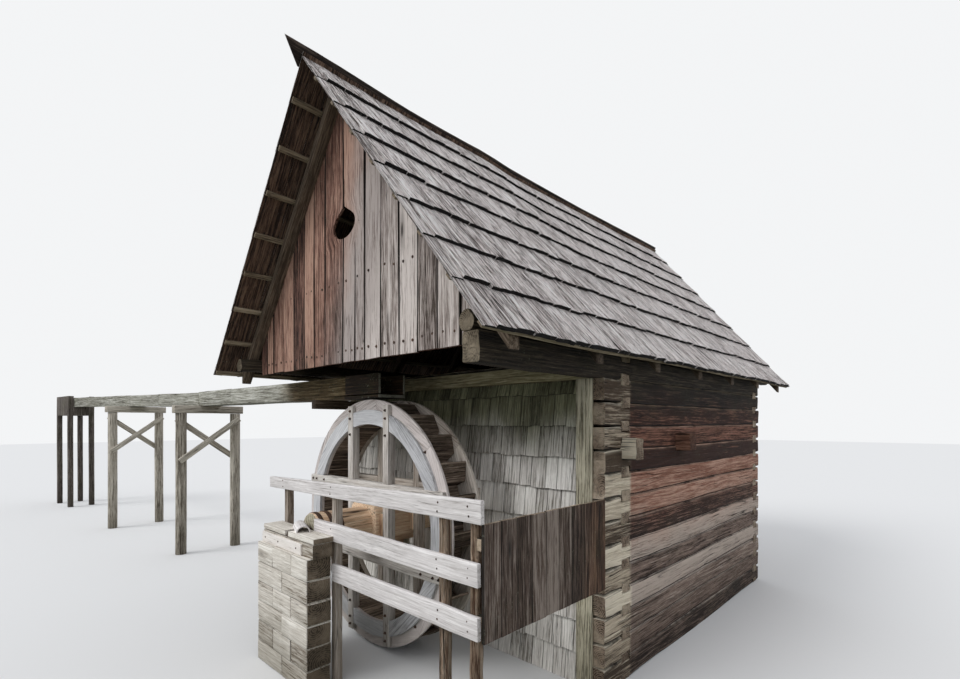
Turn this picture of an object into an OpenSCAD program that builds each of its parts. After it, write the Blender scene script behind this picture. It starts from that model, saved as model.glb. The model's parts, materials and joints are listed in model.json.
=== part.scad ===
// Log watermill with an overshot wheel under the gable overhang, millimetres.
// +X runs right along the front, +Y from the front to the rear, +Z up.
// The origin is on the floor, in the middle of the front sill log.

/* [Log house] */
// Half width of the house over the side walls
wall_half_w = 2240; // [1900:10:2800]
// Thickness of a squared wall log
log_t = 170; // [120:5:240]
// Depth of the house between the middles of the front and rear walls
house_depth = 4255; // [3200:5:6500]
// Number of courses in a side wall
courses = 14; // [8:1:18]
// Gap between two courses
log_gap = 0.4; // [0.2:0.1:2]
// Rounding of the long edges of a log
log_round = 18; // [6:1:40]
// How far the side wall logs run forward of the front wall's middle
stub_front = 400; // [250:10:900]
// How far the side wall logs run behind the rear wall's middle
stub_rear = 210; // [120:10:400]
// Height and width of the cross beam in the log house
beam_size = 200; // [120:5:260]
// Distance of the cross beam behind the front wall's middle
beam_y = 1310; // [900:10:2500]
// Height of the cross beam's underside above the floor
beam_z = 2250; // [1500:10:2600]
// How far beam ends stand out of the right wall
beam_out = 160; // [60:5:300]
// Front wall course whose end stands out on the right, counted from the floor
end_course = 9; // [3:1:12]

/* [Roof] */
// Level overhang of the roof outside the side walls
eave_out = 260; // [160:10:700]
// Slope of the roof in degrees
pitch = 50.4; // [38:0.1:56]
// Height of the outer face of the roof at the eaves
eave_z = 3215; // [2900:5:4200]
// Roof overhang in front of the front wall's middle
roof_front = 2290; // [1900:10:3000]
// Roof overhang behind the rear wall's middle
roof_rear = 1175; // [400:5:1500]
// Number of lapped board courses on a slope
roof_courses = 8; // [5:1:12]
// Thickness of the roof boards at their lower ends
board_t = 45; // [25:1:60]
// Thickness left where a board runs under the next course
board_thin = 18; // [8:1:24]
// Width of the ridge board on the left slope, below the ridge
ridge_w = 140; // [90:5:220]
// How far the ridge board stands past the ridge
ridge_past = 60; // [20:5:120]
// Thickness of the ridge board
ridge_t = 28; // [18:1:45]
// How far the ridge board's pointed front end stands forward of the roof
ridge_out = 185; // [60:5:300]
// Width of a batten
batten_w = 60; // [40:1:90]
// Thickness of a batten
batten_t = 30; // [20:1:50]
// Distance of a batten above the lower end of its board course
batten_up = 20; // [5:5:120]
// Distance of the batten ends inside the roof's edges
batten_end = 15; // [0:5:60]
// Width of a rafter
rafter_w = 120; // [80:1:160]
// Depth of a rafter across its slope
rafter_d = 90; // [70:1:180]
// Number of rafter pairs
rafter_pairs = 7; // [4:1:10]
// Distance of the first rafter pair behind the roof's front edge
rafter_inset = 330; // [150:5:600]
// Distance of a rafter's foot from the eave, level
rafter_foot = 110; // [40:5:200]
// Radius of the round plate logs
plate_r = 85; // [60:1:120]
// Distance of a plate's middle from the wall's outer face
plate_in = 126; // [90:1:160]
// Depth of the flats hewn on a plate for the wall and for the rafters
plate_flat = 12; // [5:1:30]
// Distance of the plates' front ends behind the roof's front edge
plate_inset = 190; // [60:5:400]

/* [Gables] */
// Thickness of the gable boards
gable_t = 28; // [18:1:50]
// Distance of the front gable boards' lower edge below the plates' middle
gable_drop = 110; // [60:5:200]
// Gap between the gable boards and the battens
batten_gap = 1; // [0.5:0.5:5]
// Gap between the gable boards and the plates
plate_gap = 2; // [1:1:10]
// Height of the front tie beam above the gable boards' lower edge
tie_up = 70; // [20:5:110]
// Depth of the tie beams behind the gable boards
tie_t = 120; // [80:5:180]
// Height of the tie beams
tie_h = 170; // [120:5:240]
// Radius of the drop-shaped hole in the front gable
hole_r = 165; // [60:1:220]
// Height of the hole's middle above the plates' middle
hole_up = 1340; // [800:10:1800]
// Width of the slit above the hole
slit_w = 24; // [10:1:50]
// Height of the slit's upper end above the hole's middle
slit_up = 480; // [300:5:700]

/* [Shingle cladding] */
// Thickness of the cladding at a shingle's lower end
shingle_t = 45; // [30:1:70]
// Thickness of the backing behind the shingles
backing_t = 22; // [12:1:40]
// Height of one shingle course
exposure = 320; // [200:5:450]
// Height of the topmost shingle course
top_course = 140; // [100:5:320]
// How far a course's upper edge lies back from its lower edge
shingle_set = 27; // [10:1:29]
// Height of the beam over the cladding
head_h = 160; // [100:5:220]
// Depth of the beam over the cladding
head_d = 120; // [80:5:160]
// Gap between the beam over the cladding and the top of the walls
head_gap = 75; // [20:5:200]
// How far the beam stands forward of the cladding
head_out = 20; // [0:5:60]
// Width of the corner board
corner_w = 180; // [100:5:260]
// Thickness of the corner board
corner_t = 25; // [15:1:40]
// Lap of the corner board over the side wall's log ends
corner_lap = 40; // [10:5:80]
// Radial room round the axle in the walls
axle_room = 25; // [10:1:60]

/* [Wheel] */
// Outer radius of the wheel
wheel_r = 1410; // [900:5:1450]
// Room under the wheel
wheel_room = 20; // [20:5:200]
// Distance of the wheel's middle left of the roof's middle
wheel_left = 318; // [0:1:700]
// Distance of the near ring's face in front of the front wall's middle
wheel_front = 1300; // [1150:5:1500]
// Width of the wheel over its two rings
wheel_w = 431; // [300:1:560]
// Radial depth of a ring
ring_depth = 285; // [220:5:400]
// Radial depth of the felloes nailed on a ring's outer side
felloe_depth = 167; // [100:1:200]
// Thickness of a ring
ring_t = 30; // [20:1:50]
// Thickness of the felloes on a ring
felloe_t = 35; // [20:1:45]
// Number of buckets
bucket_count = 24; // [16:1:30]
// Height of the first bucket's riser over the level line, in degrees
bucket_phase = 9; // [0:1:14]
// Thickness of bucket and sole boards
bucket_t = 25; // [15:1:40]
// Width of an arm
arm_w = 102; // [80:1:150]
// Thickness of an arm
arm_t = 98; // [80:1:140]
// How far an arm stands proud of a ring
arm_proud = 47; // [40:1:70]
// Distance of an upright arm's middle from the axle's middle
upright_off = 362; // [320:1:420]
// Distance of a level arm's middle from the axle's middle
level_off = 408; // [320:1:420]
// Distance of an arm's end inside the ring's edge
arm_in = 10; // [5:5:60]
// Room between an arm's shoulder and the ring
shoulder_room = 2; // [1:1:10]
// Half width of the squared part of the axle
boss_half = 250; // [180:5:300]
// Chamfer on the squared part of the axle
boss_chamfer = 90; // [30:5:110]
// Length of the squared part beyond the arms
boss_past = 50; // [20:5:120]
// How far a bucket's outer board leans along the rim
bucket_lift = 190; // [80:5:260]
// Distance of a bucket's lip inside the rim
bucket_in = 25; // [20:1:60]

/* [Axle and bearings] */
// Radius of the axle log at its front end
axle_front_r = 182; // [120:1:240]
// Radius of the axle log behind the wheel
axle_rear_r = 205; // [140:5:240]
// Distance of the axle's front end behind the rails
axle_in = 15; // [5:5:200]
// Distance of the axle's rear end behind the front wall's middle
axle_rear = 420; // [250:10:800]
// Radius of an iron gudgeon
gudgeon_r = 35; // [20:1:60]
// Width of an iron hoop
hoop_w = 45; // [20:1:80]
// Thickness of an iron hoop
hoop_t = 8; // [4:1:14]
// Distance of the outermost hoops from the ends of the axle log
hoop_in = 20; // [5:5:60]
// Distance between two hoops at the axle's front end
hoop_step = 110; // [60:5:180]
// Gap between a gudgeon and its seat
bearing_gap = 0.3; // [0.1:0.1:0.9]
// Room between the rails and the bearing block
block_room = 5; // [2:1:60]
// Length of the bearing timber along the front
block_w = 1110; // [700:10:1400]
// Depth of the bearing timber
block_d = 205; // [190:5:320]
// Height of the bearing timber
block_top_h = 190; // [140:5:300]
// How far the lower timbers stand forward of the bearing timber
block_step = 50; // [0:5:100]
// Distance of the lower timbers' ends left of the bearing timber's ends
block_shift = 35; // [0:5:150]
// Height of the block's top over the axle's middle
block_over = 36; // [36:1:120]
// Radius of the half-round cap
cap_r = 70; // [50:1:90]
// Thickness of the hollow half-round cap
cap_t = 12; // [8:1:30]
// Length of the half-round cap
cap_len = 340; // [250:10:400]
// Turn of the cap from the bearing timber's length in degrees
cap_turn = 20; // [0:1:25]
// Distance of the cap's middle right of the axle's middle
cap_right = 45; // [-60:5:60]
// Room between the axle's rear end and the inner bearing
inner_room = 40; // [20:5:100]
// Width of the inner bearing
inner_w = 545; // [400:5:800]
// How far a gudgeon runs past its bearing
gudgeon_past = 20; // [5:5:60]
// Number of timbers under the upper bearing timber
base_courses = 6; // [3:1:9]

/* [Rails and fence] */
// Height of a rail
rail_h = 172; // [120:1:200]
// Height of the top rail at its left end
rail_end_h = 120; // [80:5:170]
// Thickness of a rail
rail_t = 40; // [25:1:60]
// Diameter of a round post
post_d = 98; // [70:1:140]
// Depth of the flats hewn on a round post for the rails and ledgers
post_flat = 3; // [2:1:15]
// Width of the post under the flume
post_w = 100; // [70:5:140]
// Width of a slim post
slim_w = 75; // [50:5:100]
// Distance of the rails in front of the log ends
rail_room = 1645; // [1400:5:1800]
// Height of the top rail's upper edge at its left end
top_rail_left = 1940; // [1850:10:2300]
// Height of the top rail's upper edge at its right end
top_rail_right = 2026; // [1850:1:2300]
// Height of the middle rail's upper edge
middle_rail_z = 1580; // [1400:10:1650]
// Height of the bottom rail's upper edge
bottom_rail_z = 1195; // [600:5:1300]
// Left end of the top rail from the wheel's middle
top_rail_x = -909; // [-1400:1:-600]
// Left end of the middle rail from the wheel's middle
middle_rail_x = 162; // [60:1:400]
// Left end of the bottom rail from the wheel's middle
bottom_rail_x = 508; // [200:1:900]
// Middle of the left post from the wheel's middle
left_post_x = -556; // [-900:1:-300]
// Middle of the middle post from the wheel's middle
middle_post_x = 494; // [300:1:900]
// Middle of the right post from the fence's corner post
right_post_x = -338; // [-800:1:-250]
// Height of the fence boards' top above the floor
fence_top = 1850; // [1200:10:2200]
// Height of the fence boards' lower ends above the floor
fence_bottom = 1000; // [200:10:1100]
// Thickness of a fence board
fence_t = 30; // [18:1:50]
// Number of boards in the fence
fence_boards = 9; // [5:1:16]
// Thickness of a ledger behind the fence boards
ledger_t = 50; // [25:1:70]
// Height of a ledger behind the fence boards
ledger_h = 90; // [50:5:140]
// Distance of the ledgers inside the ends of the fence boards
ledger_in = 100; // [30:5:200]

/* [Flume] */
// Height of the flume's underside over the wheel
flume_over = 25; // [15:1:120]
// Outer width of the flume
flume_w = 380; // [250:5:520]
// Height of a flume side
flume_side = 270; // [160:5:290]
// Thickness of the flume boards
flume_t = 35; // [22:1:50]
// Distance of the flume's near side behind the near ring's face
flume_back = 0; // [0:5:60]
// Distance of the flume's end right of the wheel's middle
flume_end = 164; // [0:1:400]
// Length of the flume between the mill end and the first trestle
bay_1 = 6250; // [4000:10:8000]
// Length of the flume between the first and second trestles
bay_2 = 4000; // [3000:10:6000]
// Length of the flume between the second trestle and the inlet box
bay_3 = 4600; // [3000:10:6000]
// Rise of the first bay along its length in degrees
rise_1 = 0.35; // [0:0.05:1]
// Rise of the outer bays along their length in degrees
rise_2 = 0.9; // [0:0.05:2]
// Turn of the outer bays towards the front in degrees
turn_2 = 6; // [0:0.5:15]
// Room between the bays at the first trestle
bay_room = 5; // [2:1:20]
// Diameter of a trestle post
leg_d = 190; // [120:5:240]
// Length of a trestle cap
cap_beam_len = 1270; // [900:10:1600]
// Distance of a trestle post inside the cap's end
leg_in = 40; // [10:5:120]
// Height of a trestle cap
cap_beam_h = 150; // [100:5:220]
// Width of a trestle cap
cap_beam_w = 180; // [120:5:240]
// Height of the crossed braces in a trestle
brace_h = 1050; // [600:10:1600]
// How far a brace runs past the middle of a post
brace_past = 50; // [20:5:90]
// Width of a brace
brace_w = 110; // [70:5:160]
// Thickness of a brace
brace_t = 35; // [20:1:60]
// Height of the bearer under the flume's mill end
bearer_h = 120; // [80:5:180]
// How far the bearer stands forward of the flume
bearer_out = 40; // [0:5:120]
// Distance of the flume post's middle inside the wheel's left edge
post_in = 124; // [0:1:200]
// Distance of the flume post's middle behind the far arms
post_room = 112; // [80:1:260]
// Length of the inlet box
inlet_len = 1300; // [800:10:2000]
// Room beside the flume in the inlet box
inlet_side = 130; // [60:5:250]
// Depth of the inlet box under the flume
inlet_deep = 260; // [150:5:500]
// Height of the inlet box over the flume's sides
inlet_over = 60; // [0:5:150]
// Width of an inlet box leg
inlet_leg = 120; // [80:5:180]

/* [Hidden] */

$fn = 72;
seat = 0.3;
big = 20000;

// Roof lines: height of a face at a distance from the roof's middle
slope = tan(pitch);
roof_half_w = wall_half_w + eave_out;
function face_z(x, depth) = eave_z + (roof_half_w - x) * slope - depth / cos(pitch);
under_boards = board_t;
under_battens = board_t + batten_t;
under_rafters = under_battens + rafter_d;
gable_clear = under_battens + batten_gap;
slope_len = roof_half_w / cos(pitch);
roof_exposure = slope_len / roof_courses;
roof_len = roof_front + house_depth + roof_rear;

// The ridge board bears with its lower edge on the tapering top course
taper = (board_t - board_thin) / (roof_exposure + board_t);
ridge_depth = (board_t - board_thin - taper * (board_t + ridge_w)) / (1 + taper * slope);

// Plates lie under the rafters and on the side walls
plate_x = wall_half_w - plate_in;
plate_z = face_z(plate_x, under_rafters) - (plate_r - plate_flat) / cos(pitch);
plate_front = plate_inset - roof_front;
plate_len = roof_len - 2 * plate_inset;
wall_top = plate_z - plate_r + plate_flat;
course_h = wall_top / courses;
side_mid = wall_half_w - log_t / 2;

// Gables and rafters
rafter_front = rafter_inset - roof_front;
rafter_step = (roof_len - 2 * rafter_inset - rafter_w) / (rafter_pairs - 1);
gable_front_y = rafter_front + rafter_w;
gable_rear_y = house_depth + log_t / 2 - gable_t;
gable_bottom = plate_z - gable_drop;
gable_half = plate_x - plate_r - plate_gap;
front_tie_z = gable_bottom + tie_up;
hole_z = plate_z + hole_up;

// Fronts of the cladding and the rails
cladding_face = -stub_front;
rail_back = cladding_face - rail_room;
rail_front = rail_back - rail_t;

// Wheel
axle_x = -wheel_left;
axle_z = wheel_room + wheel_r;
ring_in = wheel_r - ring_depth;
felloe_r = ring_in + felloe_depth;
near_face = -wheel_front;
far_face = near_face + wheel_w;
boss_front = near_face - arm_proud - boss_past;
boss_rear = far_face + arm_proud + boss_past;
arm_offs = [upright_off, level_off];
axle_front = rail_back + axle_in;
hoops = concat(
  [for (i = [0:2]) [axle_front + hoop_in + i * hoop_step, axle_front_r]],
  [[axle_rear - hoop_in - hoop_w, axle_rear_r]]
);

// Bearings
block_top = axle_z + block_over;
block_back = rail_front - block_room;
inner_front = axle_rear + inner_room;
gudgeon_front = block_back - block_d - gudgeon_past;
gudgeon_rear = inner_front + block_d + gudgeon_past;

// Cladding
cladding_half = wall_half_w - log_t;
cladding_top = wall_top - head_gap - head_h;
full_courses = floor((cladding_top - top_course - exposure / 4) / exposure);
course_lines = concat(
  [0],
  [for (i = [full_courses:-1:0]) cladding_top - top_course - i * exposure],
  [cladding_top]
);

// Foremost face of the cladding, or of the beam over it, between two heights
function cladding_front(z0, z1) = min(concat(
  z1 > cladding_top ? [cladding_face - head_out] : [],
  [for (i = [0:len(course_lines) - 2]) if (course_lines[i] < z1 && course_lines[i + 1] > z0) let (
    up = max(0, z0 - course_lines[i]) / (course_lines[i + 1] - course_lines[i])
  ) cladding_face + up * shingle_set]
));

// Rails and fence
fence_in = wall_half_w - fence_t;
corner_post_x = fence_in - ledger_t - post_d / 2 + post_flat;
rail_x0 = axle_x + top_rail_x;

// Flume
flume_under = 2 * wheel_r + wheel_room + flume_over;
flume_mid_y = near_face + flume_back + flume_w / 2;
flume_x = axle_x + flume_end;
trestle_x = flume_x - bay_1 * cos(rise_1);
trestle_z = flume_under + bay_1 * sin(rise_1);
post_x = axle_x - wheel_r + post_in;
post_y = far_face + arm_proud + post_room;
bearer_z = flume_under + (flume_x - post_x - post_w / 2) * tan(rise_1) - seat;
joint_gap = flume_w / 2 * sin(turn_2) + bay_room;
outer_len = bay_2 + bay_3;

module block(low, size) {
  translate(low) cube(size);
}

// Lays a section drawn in X and Z along +Y
module along_y(y0, len) {
  translate([0, y0 + len, 0]) rotate([90, 0, 0]) linear_extrude(len) children();
}

module rod_y(r, y0, len) {
  rotate([-90, 0, 0]) translate([0, 0, y0]) cylinder(r = r, h = len);
}

// Section of a squared log with rounded edges, standing on z = 0
module log_section(h) {
  polygon([
    for (c = [[1, -1, 270], [1, 1, 0], [-1, 1, 90], [-1, -1, 180]])
      for (a = [0, 45, 90]) [
        c[0] * (log_t / 2 - log_round) + log_round * cos(c[2] + a),
        h / 2 + c[1] * (h / 2 - log_round) + log_round * sin(c[2] + a)
      ]
  ]);
}

// One course of a side wall with a notch above and below at each corner
module side_log(mid_x, k, front = stub_front) {
  low = k * course_h;
  difference() {
    translate([mid_x, 0, low])
      along_y(-front, front + house_depth + stub_rear) log_section(course_h - log_gap);
    for (y = [0, house_depth]) {
      block([mid_x - log_t, y - log_t / 2, low - 1], [2 * log_t, log_t, course_h / 4 + 1]);
      block([mid_x - log_t, y - log_t / 2, low + course_h * 3 / 4 - seat], [2 * log_t, log_t, course_h]);
    }
    cross_beam_box();
  }
}

// One course of an end wall between two heights; the half logs keep one plain side
module end_log(mid_y, z0, z1, out = 0) {
  lower = z0 > 0 ? course_h / 4 : 0;
  upper = z1 < wall_top ? course_h / 4 + seat : 0;
  difference() {
    translate([0, mid_y, z0]) rotate([0, 0, -90])
      along_y(-wall_half_w, 2 * wall_half_w + out) log_section(z1 - z0 - log_gap);
    for (s = [-1, 1]) {
      block([s * side_mid - log_t / 2, mid_y - log_t, z0 - 1], [log_t, 2 * log_t, lower + 1]);
      block([s * side_mid - log_t / 2, mid_y - log_t, z1 - upper], [log_t, 2 * log_t, course_h]);
    }
  }
}

module end_wall(mid_y, out_course = -1) {
  end_log(mid_y, 0, course_h / 2);
  for (k = [0:courses - 2])
    end_log(mid_y, (k + 0.5) * course_h, (k + 1.5) * course_h, k == out_course ? beam_out : 0);
  end_log(mid_y, (courses - 0.5) * course_h, wall_top);
}

module cross_beam_box() {
  block([-wall_half_w, beam_y - beam_size / 2, beam_z],
    [2 * wall_half_w + beam_out, beam_size, beam_size]);
}

module axle_hole(y0, len) {
  translate([axle_x, 0, axle_z]) rod_y(axle_rear_r + axle_room, y0, len);
}

module front_wall() {
  color([0.42, 0.33, 0.27])
    difference() {
      end_wall(0, end_course);
      axle_hole(-log_t, 2 * log_t);
    }
}

module rear_wall() {
  color([0.38, 0.29, 0.24]) end_wall(house_depth);
}

module left_wall() {
  color([0.38, 0.27, 0.22])
    for (k = [0:courses - 1]) side_log(-side_mid, k);
}

module right_wall() {
  color([0.40, 0.27, 0.22])
    for (k = [0:courses - 2]) side_log(side_mid, k);
}

// The right wall's top log reaches forward under the plate
module corbel_log() {
  color([0.34, 0.28, 0.23]) side_log(side_mid, courses - 1, -plate_front);
}

module cross_beam() {
  color([0.33, 0.22, 0.17]) cross_beam_box();
}

// Mirrors what is built for the right side when side is -1
module on_side(side) {
  if (side > 0) children();
  else mirror([1, 0, 0]) children();
}

// Section between two depths under the right slope's outer face, from x0 out to x1
module slope_band(top, bottom, x0, x1) {
  polygon([
    [x0, face_z(x0, top)], [x1, face_z(x1, top)],
    [x1, face_z(x1, bottom)], [x0, face_z(x0, bottom)]
  ]);
}

// A round plate hewn flat for the wall and for the rafters
module plate() {
  color([0.36, 0.30, 0.25])
    difference() {
      translate([plate_x, 0, plate_z]) rod_y(plate_r, plate_front, plate_len);
      block([0, plate_front - 1, wall_top - plate_r], [big, plate_len + 2, plate_r]);
      along_y(plate_front - 1, plate_len + 2)
        slope_band(-plate_r, under_rafters + seat, 0, roof_half_w);
    }
}

module left_plate() {
  on_side(-1) plate();
}

module right_plate() {
  on_side(1) plate();
}

module rafters() {
  color([0.34, 0.26, 0.20])
    for (i = [0:rafter_pairs - 1])
      along_y(rafter_front + i * rafter_step, rafter_w)
        slope_band(under_battens + seat, under_rafters, 0, roof_half_w - rafter_foot);
}

module left_rafters() {
  on_side(-1) rafters();
}

module right_rafters() {
  on_side(1) rafters();
}

// A batten under the lower end of each board course
module battens() {
  color([0.45, 0.40, 0.34])
    for (i = [0:roof_courses - 1])
      along_y(-roof_front + batten_end, roof_len - 2 * batten_end)
        batten_section(i * roof_exposure + batten_up);
}

// Section of a batten at a distance up the slope
module batten_section(up) {
  top = under_boards + seat;
  x1 = roof_half_w - up * cos(pitch) - top * sin(pitch);
  x0 = x1 - batten_w * cos(pitch);
  deep = (seat - batten_t) * [sin(pitch), cos(pitch)];
  low = [x1, face_z(x1, top)];
  high = [x0, face_z(x0, top)];
  polygon([low, high, high + deep, low + deep]);
}

module left_battens() {
  on_side(-1) battens();
}

module right_battens() {
  on_side(1) battens();
}

// Stepped section of the lapped boards, from the eave to a distance up the slope
module board_section(top) {
  along = [-cos(pitch), sin(pitch)];
  out = [sin(pitch), cos(pitch)];
  foot = [roof_half_w, eave_z] - board_t * out;
  polygon(concat(
    [foot],
    [for (i = [0:roof_courses - 1]) for (e = [0, 1]) let (
      up = e == 0 || i < roof_courses - 1 ? (i + e) * roof_exposure : top
    ) foot + up * along + (e == 0 ? board_t : board_thin) * out],
    [foot + top * along]
  ));
}

module right_roof_boards() {
  color([0.50, 0.46, 0.45])
    along_y(-roof_front, roof_len) board_section(slope_len - board_t * slope);
}

// The left boards end under the right slope's boards
module left_roof_boards() {
  color([0.50, 0.46, 0.45])
    difference() {
      on_side(-1) along_y(-roof_front, roof_len) board_section(slope_len + board_t);
      along_y(-roof_front - 1, roof_len + 2)
        slope_band(-big, under_boards + seat, -roof_half_w, roof_half_w);
    }
}

// A board on the left slope that covers the ridge; its front end is cut to a point
module ridge_board() {
  color([0.42, 0.39, 0.37])
    on_side(-1) translate([0, 0, face_z(0, ridge_depth - seat)]) rotate([0, pitch, 0])
      linear_extrude(ridge_t) polygon([
        [-ridge_past, -roof_front - ridge_out], [ridge_w, -roof_front],
        [ridge_w, roof_len - roof_front], [-ridge_past, roof_len - roof_front]
      ]);
}

// Outline of a gable's boards: plumb sides and the slopes under the battens
module gable_outline(bottom, half) {
  polygon([
    [-half, bottom], [half, bottom], [half, face_z(half, gable_clear)],
    [0, face_z(0, gable_clear)], [-half, face_z(half, gable_clear)]
  ]);
}

// A round hole drawn out to a point above, with a slit over it
module drop_hole() {
  translate([0, hole_z])
    polygon(concat([for (a = [-225:15:45]) hole_r * [cos(a), sin(a)]], [[0, hole_r * sqrt(2)]]));
  translate([-slit_w / 2, hole_z]) square([slit_w, slit_up]);
}

module front_gable() {
  color([0.47, 0.36, 0.30])
    along_y(gable_front_y, gable_t) difference() {
      gable_outline(gable_bottom, gable_half);
      drop_hole();
    }
}

module rear_gable() {
  color([0.44, 0.36, 0.31])
    along_y(gable_rear_y, gable_t) gable_outline(wall_top, gable_half);
}

// A tie beam saddled over both plates
module tie(y0, z0) {
  color([0.30, 0.23, 0.18])
    difference() {
      block([-plate_x, y0, z0], [2 * plate_x, tie_t, tie_h]);
      for (s = [-1, 1])
        translate([s * plate_x, 0, plate_z]) rod_y(plate_r + seat, y0 - 1, tie_t + 2);
      for (s = [-1, 1])
        on_side(s) along_y(y0 - 1, tie_t + 2) slope_band(-big, gable_clear, 0, roof_half_w);
    }
}

module front_tie() {
  tie(gable_front_y + gable_t, front_tie_z);
}

module rear_tie() {
  tie(gable_rear_y - tie_t, wall_top);
}

// Lapped shingle courses in front of a backing, standing on the floor between the side walls
module shingle_cladding() {
  back = cladding_face + shingle_t + backing_t;
  color([0.50, 0.49, 0.44])
    difference() {
      translate([-cladding_half, 0, 0]) rotate([90, 0, 90])
        linear_extrude(2 * cladding_half)
          polygon(concat(
            [[back, cladding_top], [back, 0]],
            [for (i = [0:len(course_lines) - 2]) for (e = [0, 1])
              [cladding_face + e * shingle_set, course_lines[i + e]]]
          ));
      axle_hole(cladding_face - 1, shingle_t + backing_t + 2);
    }
}

module cladding_head() {
  color([0.44, 0.42, 0.36])
    block([-cladding_half, cladding_face - head_out, cladding_top], [2 * cladding_half, head_d, head_h]);
}

module corner_board() {
  color([0.52, 0.50, 0.42])
    block([cladding_half - corner_w + corner_lap, cladding_face - corner_t, 0],
      [corner_w, corner_t, cladding_top]);
}

// A slot open at the top round a gudgeon
module gudgeon_slot(y0, len) {
  slot_r = gudgeon_r + bearing_gap;
  translate([axle_x, 0, axle_z]) {
    rod_y(slot_r, y0, len);
    block([-slot_r, y0, 0], [2 * slot_r, len, block_over + 1]);
  }
}

module bearing_base() {
  top = block_top - block_top_h;
  course = top / base_courses;
  color([0.55, 0.50, 0.42])
    for (i = [0:base_courses - 1])
      block([axle_x - block_w / 2 - block_shift, block_back - block_d - block_step, i * course],
        [block_w, block_d + block_step, course - (i < base_courses - 1 ? log_gap : 0)]);
}

module bearing_timber() {
  color([0.58, 0.53, 0.45])
    difference() {
      block([axle_x - block_w / 2, block_back - block_d, block_top - block_top_h],
        [block_w, block_d, block_top_h]);
      gudgeon_slot(block_back - block_d - 1, block_d + 2);
    }
}

// A hollowed half log laid over the front gudgeon
module bearing_cap() {
  color([0.50, 0.42, 0.32])
    translate([axle_x + cap_right, block_back - cap_r, block_top])
      rotate([0, 0, -cap_turn]) rotate([90, 0, 90]) translate([0, 0, -cap_len / 2])
        linear_extrude(cap_len) difference() {
          circle(r = cap_r);
          circle(r = cap_r - cap_t);
          translate([-big / 2, -big]) square(big);
        }
}

module inner_bearing() {
  color([0.50, 0.44, 0.36])
    difference() {
      block([axle_x - inner_w / 2, inner_front, 0], [inner_w, block_d, block_top]);
      gudgeon_slot(inner_front - 1, block_d + 2);
    }
}

// Height at which a post behind the rails ends, half way up the top rail
function post_top(mid) = top_rail_left - rail_h / 2
  + (top_rail_right - top_rail_left) * (mid - rail_x0) / (wall_half_w - rail_x0);

module slim_post(mid) {
  block([mid - slim_w / 2, rail_back, 0], [slim_w, slim_w, post_top(mid)]);
}

// A round post with flats where the rails in front and the ledgers on its right bear on it
module round_post(mid) {
  flat = post_d / 2 - post_flat;
  translate([mid, rail_back + flat, 0])
    intersection() {
      cylinder(d = post_d, h = post_top(mid));
      block([-post_d, -flat, 0], [post_d + flat, 2 * post_d, post_top(mid)]);
    }
}

module rail_posts() {
  color([0.50, 0.46, 0.40]) {
    slim_post(axle_x + left_post_x);
    slim_post(axle_x + middle_post_x);
    round_post(corner_post_x + right_post_x);
    round_post(corner_post_x);
  }
}

// A rail from x0 to x1 whose upper edge runs from z0 to z1, h high at its left end
module rail(x0, x1, z0, z1, h = rail_h) {
  color([0.62, 0.60, 0.57])
    along_y(rail_front, rail_t)
      polygon([[x0, z0 - h], [x1, z1 - rail_h], [x1, z1], [x0, z0]]);
}

module top_rail() {
  rail(rail_x0, wall_half_w, top_rail_left, top_rail_right, rail_end_h);
}

module middle_rail() {
  rail(axle_x + middle_rail_x, fence_in, middle_rail_z, middle_rail_z);
}

module bottom_rail() {
  rail(axle_x + bottom_rail_x, fence_in, bottom_rail_z, bottom_rail_z);
}

// Upright boards along the right side, from the rails back to the log ends
module board_fence() {
  board = rail_room / fence_boards;
  color([0.40, 0.35, 0.29])
    for (i = [0:fence_boards - 1])
      block([fence_in, rail_back + i * board, fence_bottom],
        [fence_t, board - (i < fence_boards - 1 ? log_gap : 0), fence_top - fence_bottom]);
}

// Two ledgers behind the boards, from the rails to the side wall's log ends
module fence_ledgers() {
  color([0.42, 0.36, 0.30])
    for (z = [fence_bottom + ledger_in, fence_top - ledger_in - ledger_h])
      block([fence_in - ledger_t, rail_back, z], [ledger_t, rail_room, ledger_h]);
}

// A trough of three boards along +X, open at the top and at both ends
module trough(len) {
  block([0, -flume_w / 2, 0], [len, flume_w, flume_t]);
  for (s = [-1, 1])
    block([0, s * (flume_w / 2 - flume_t / 2) - flume_t / 2, flume_t], [len, flume_t, flume_side - flume_t]);
}

module near_flume() {
  color([0.48, 0.46, 0.42])
    translate([flume_x, flume_mid_y, flume_under]) rotate([0, rise_1, 0])
      translate([-bay_1, 0, 0]) trough(bay_1);
}

module outer_flume() {
  color([0.46, 0.43, 0.41])
    outer_place() translate([-outer_len, 0, 0]) trough(outer_len);
}

// The outer bays turn a little at the first trestle
module outer_place() {
  translate([trestle_x - joint_gap, flume_mid_y, trestle_z])
    rotate([0, 0, turn_2]) rotate([0, rise_2, 0]) children();
}

module flume_post() {
  color([0.45, 0.40, 0.34])
    block([post_x - post_w / 2, post_y - post_w / 2, 0], [post_w, post_w, bearer_z - bearer_h]);
}

module flume_bearer() {
  y0 = flume_mid_y - flume_w / 2 - bearer_out;
  y1 = cladding_front(bearer_z - bearer_h, bearer_z) - seat;
  color([0.45, 0.40, 0.34])
    block([post_x - post_w / 2, y0, bearer_z - bearer_h], [post_w, y1 - y0, bearer_h]);
}

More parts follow.
